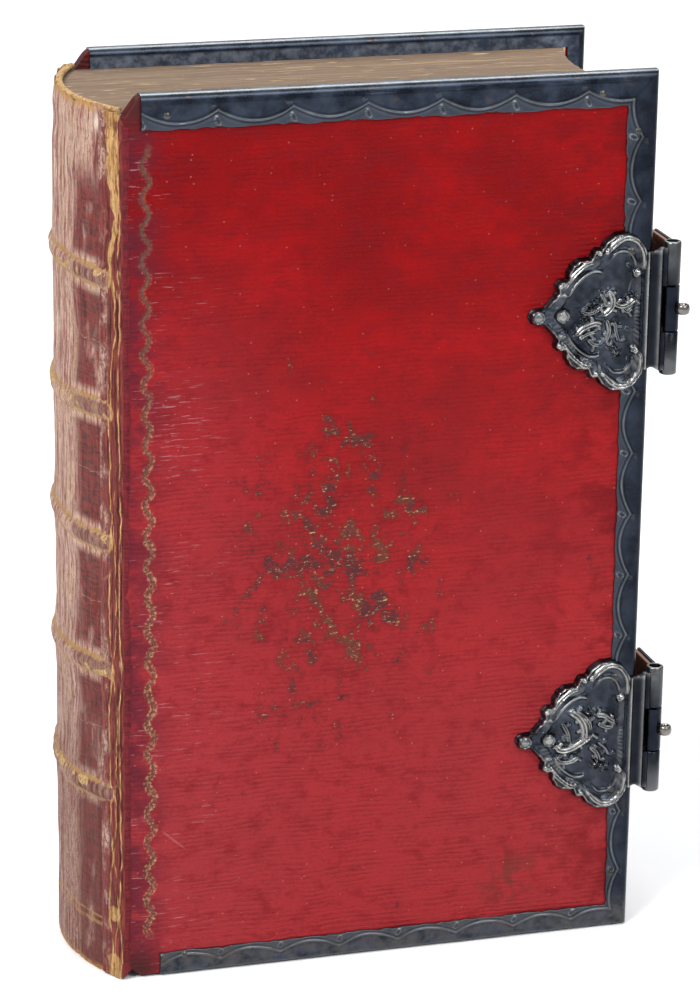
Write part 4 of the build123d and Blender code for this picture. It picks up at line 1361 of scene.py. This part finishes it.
keep("spine_lining", ENDPAPER)
keep("sewing_cords", THREAD)
for side in ("front", "back"):
    keep(f"{side}_rail_nails", NAIL_SILVER)
    keep(f"{side}_plate_rivets", NAIL_SILVER)
for level in CLASPS:
    for name in ("catch_pin", "hinge_pin"):
        keep(f"{level}_{name}", SILVER)
    for name in ("hook", "arm_knuckle"):
        keep(f"{level}_{name}", SILVER, 0.18)
    keep(f"{level}_strap_rivets", BRIGHT_SILVER)


# ---- floor, light and camera -----------------------------------------------------------
FLOOR_HALF = 6.0
FLOOR_DROP = 0.0002
FLOOR_COLOURS = ((0.90, 0.90, 0.92, 1), (0.93, 0.93, 0.94, 1))
SURROUND_COLOUR = (0.96, 0.98, 1.0, 1)
SURROUND_STRENGTH = 0.42
LIGHT_AIM = (0.0, 0.0, 0.09)
# Each light: place and size in metres, power in watts, colour.
LIGHTS = {
    "window": ((-0.85, -0.60, 1.15), 0.6, 21.0, (1.0, 0.99, 0.97)),
    "front fill": ((0.45, -1.0, 0.95), 0.7, 9.0, (0.98, 0.99, 1.0)),
    "back light": ((0.3, 0.9, 1.2), 0.9, 15.0, (1, 1, 1)),
}
# In the book's millimetres; yaw, pitch and roll in degrees; film and lens in millimetres.
CAMERA_PLACE = (-173.1, -758.5, 357.7)
CAMERA_ANGLES = (16.78, 18.38, 0.90)
SENSOR = 36.0
LENS = 141.1


def facing(right, up, forward):
    """The rotation of a camera or a light that looks along forward."""
    return Matrix(np.stack([right, up, -forward], 1).tolist())


def floor():
    """A plain pale floor."""
    mesh = bpy.data.meshes.new("floor")
    ways = ((-1, -1), (1, -1), (1, 1), (-1, 1))
    ends = [(x * FLOOR_HALF, y * FLOOR_HALF, 0) for x, y in ways]
    mesh.from_pydata(ends, [], [(0, 1, 2, 3)])
    look = Look("pale floor", Roughness=0.55, Specular_IOR_Level=0.25)
    mottle = look.noise((0.004, 0.004, 0.004), 2.0)
    look.colour = look.mix(look.between(mottle, 0.3, 0.7), *FLOOR_COLOURS)
    mesh.materials.append(look.finish())
    thing = placed("floor", mesh)
    thing.location.z = -FLOOR_DROP


def softbox(name, place, size, power, colour):
    """A large square area light aimed at the book."""
    lamp = bpy.data.lights.new(name, "AREA")
    lamp.shape = "SQUARE"
    lamp.size = size
    lamp.energy = power
    lamp.color = colour
    thing = placed(name, lamp)
    thing.location = place
    way = np.array(LIGHT_AIM) - np.array(place)
    direction = way / np.linalg.norm(way)
    side = np.cross(direction, (0, 0, 1))
    side = side / np.linalg.norm(side)
    up = np.cross(side, direction)
    thing.rotation_euler = facing(side, up, direction).to_euler()


def camera():
    """A long lens, a little above the book and to the left of its front cover."""
    yaw, pitch, roll = (math.radians(a) for a in CAMERA_ANGLES)
    flat = math.cos(pitch)
    forward = np.array([math.sin(yaw) * flat, math.cos(yaw) * flat, -math.sin(pitch)])
    level = np.array([math.cos(yaw), -math.sin(yaw), 0.0])
    lift = np.cross(level, forward)
    right = math.cos(roll) * level + math.sin(roll) * lift
    up = -math.sin(roll) * level + math.cos(roll) * lift
    lens = bpy.data.cameras.new("camera")
    lens.sensor_fit = "VERTICAL"
    lens.sensor_height = SENSOR
    lens.lens = LENS
    thing = placed("camera", lens)
    place = (np.array(CAMERA_PLACE) + ORIGIN) * MM
    thing.matrix_world = Matrix.Translation(place.tolist()) @ facing(right, up, forward).to_4x4()
    bpy.context.scene.camera = thing


def world():
    """A plain white surround."""
    made = bpy.data.worlds.new("surround")
    made.use_nodes = True
    light = made.node_tree.nodes["Background"].inputs
    light["Color"].default_value = SURROUND_COLOUR
    light["Strength"].default_value = SURROUND_STRENGTH
    bpy.context.scene.world = made


floor()
world()
for name, light in LIGHTS.items():
    softbox(name, *light)
camera()
bpy.context.scene.view_settings.view_transform = "Standard"
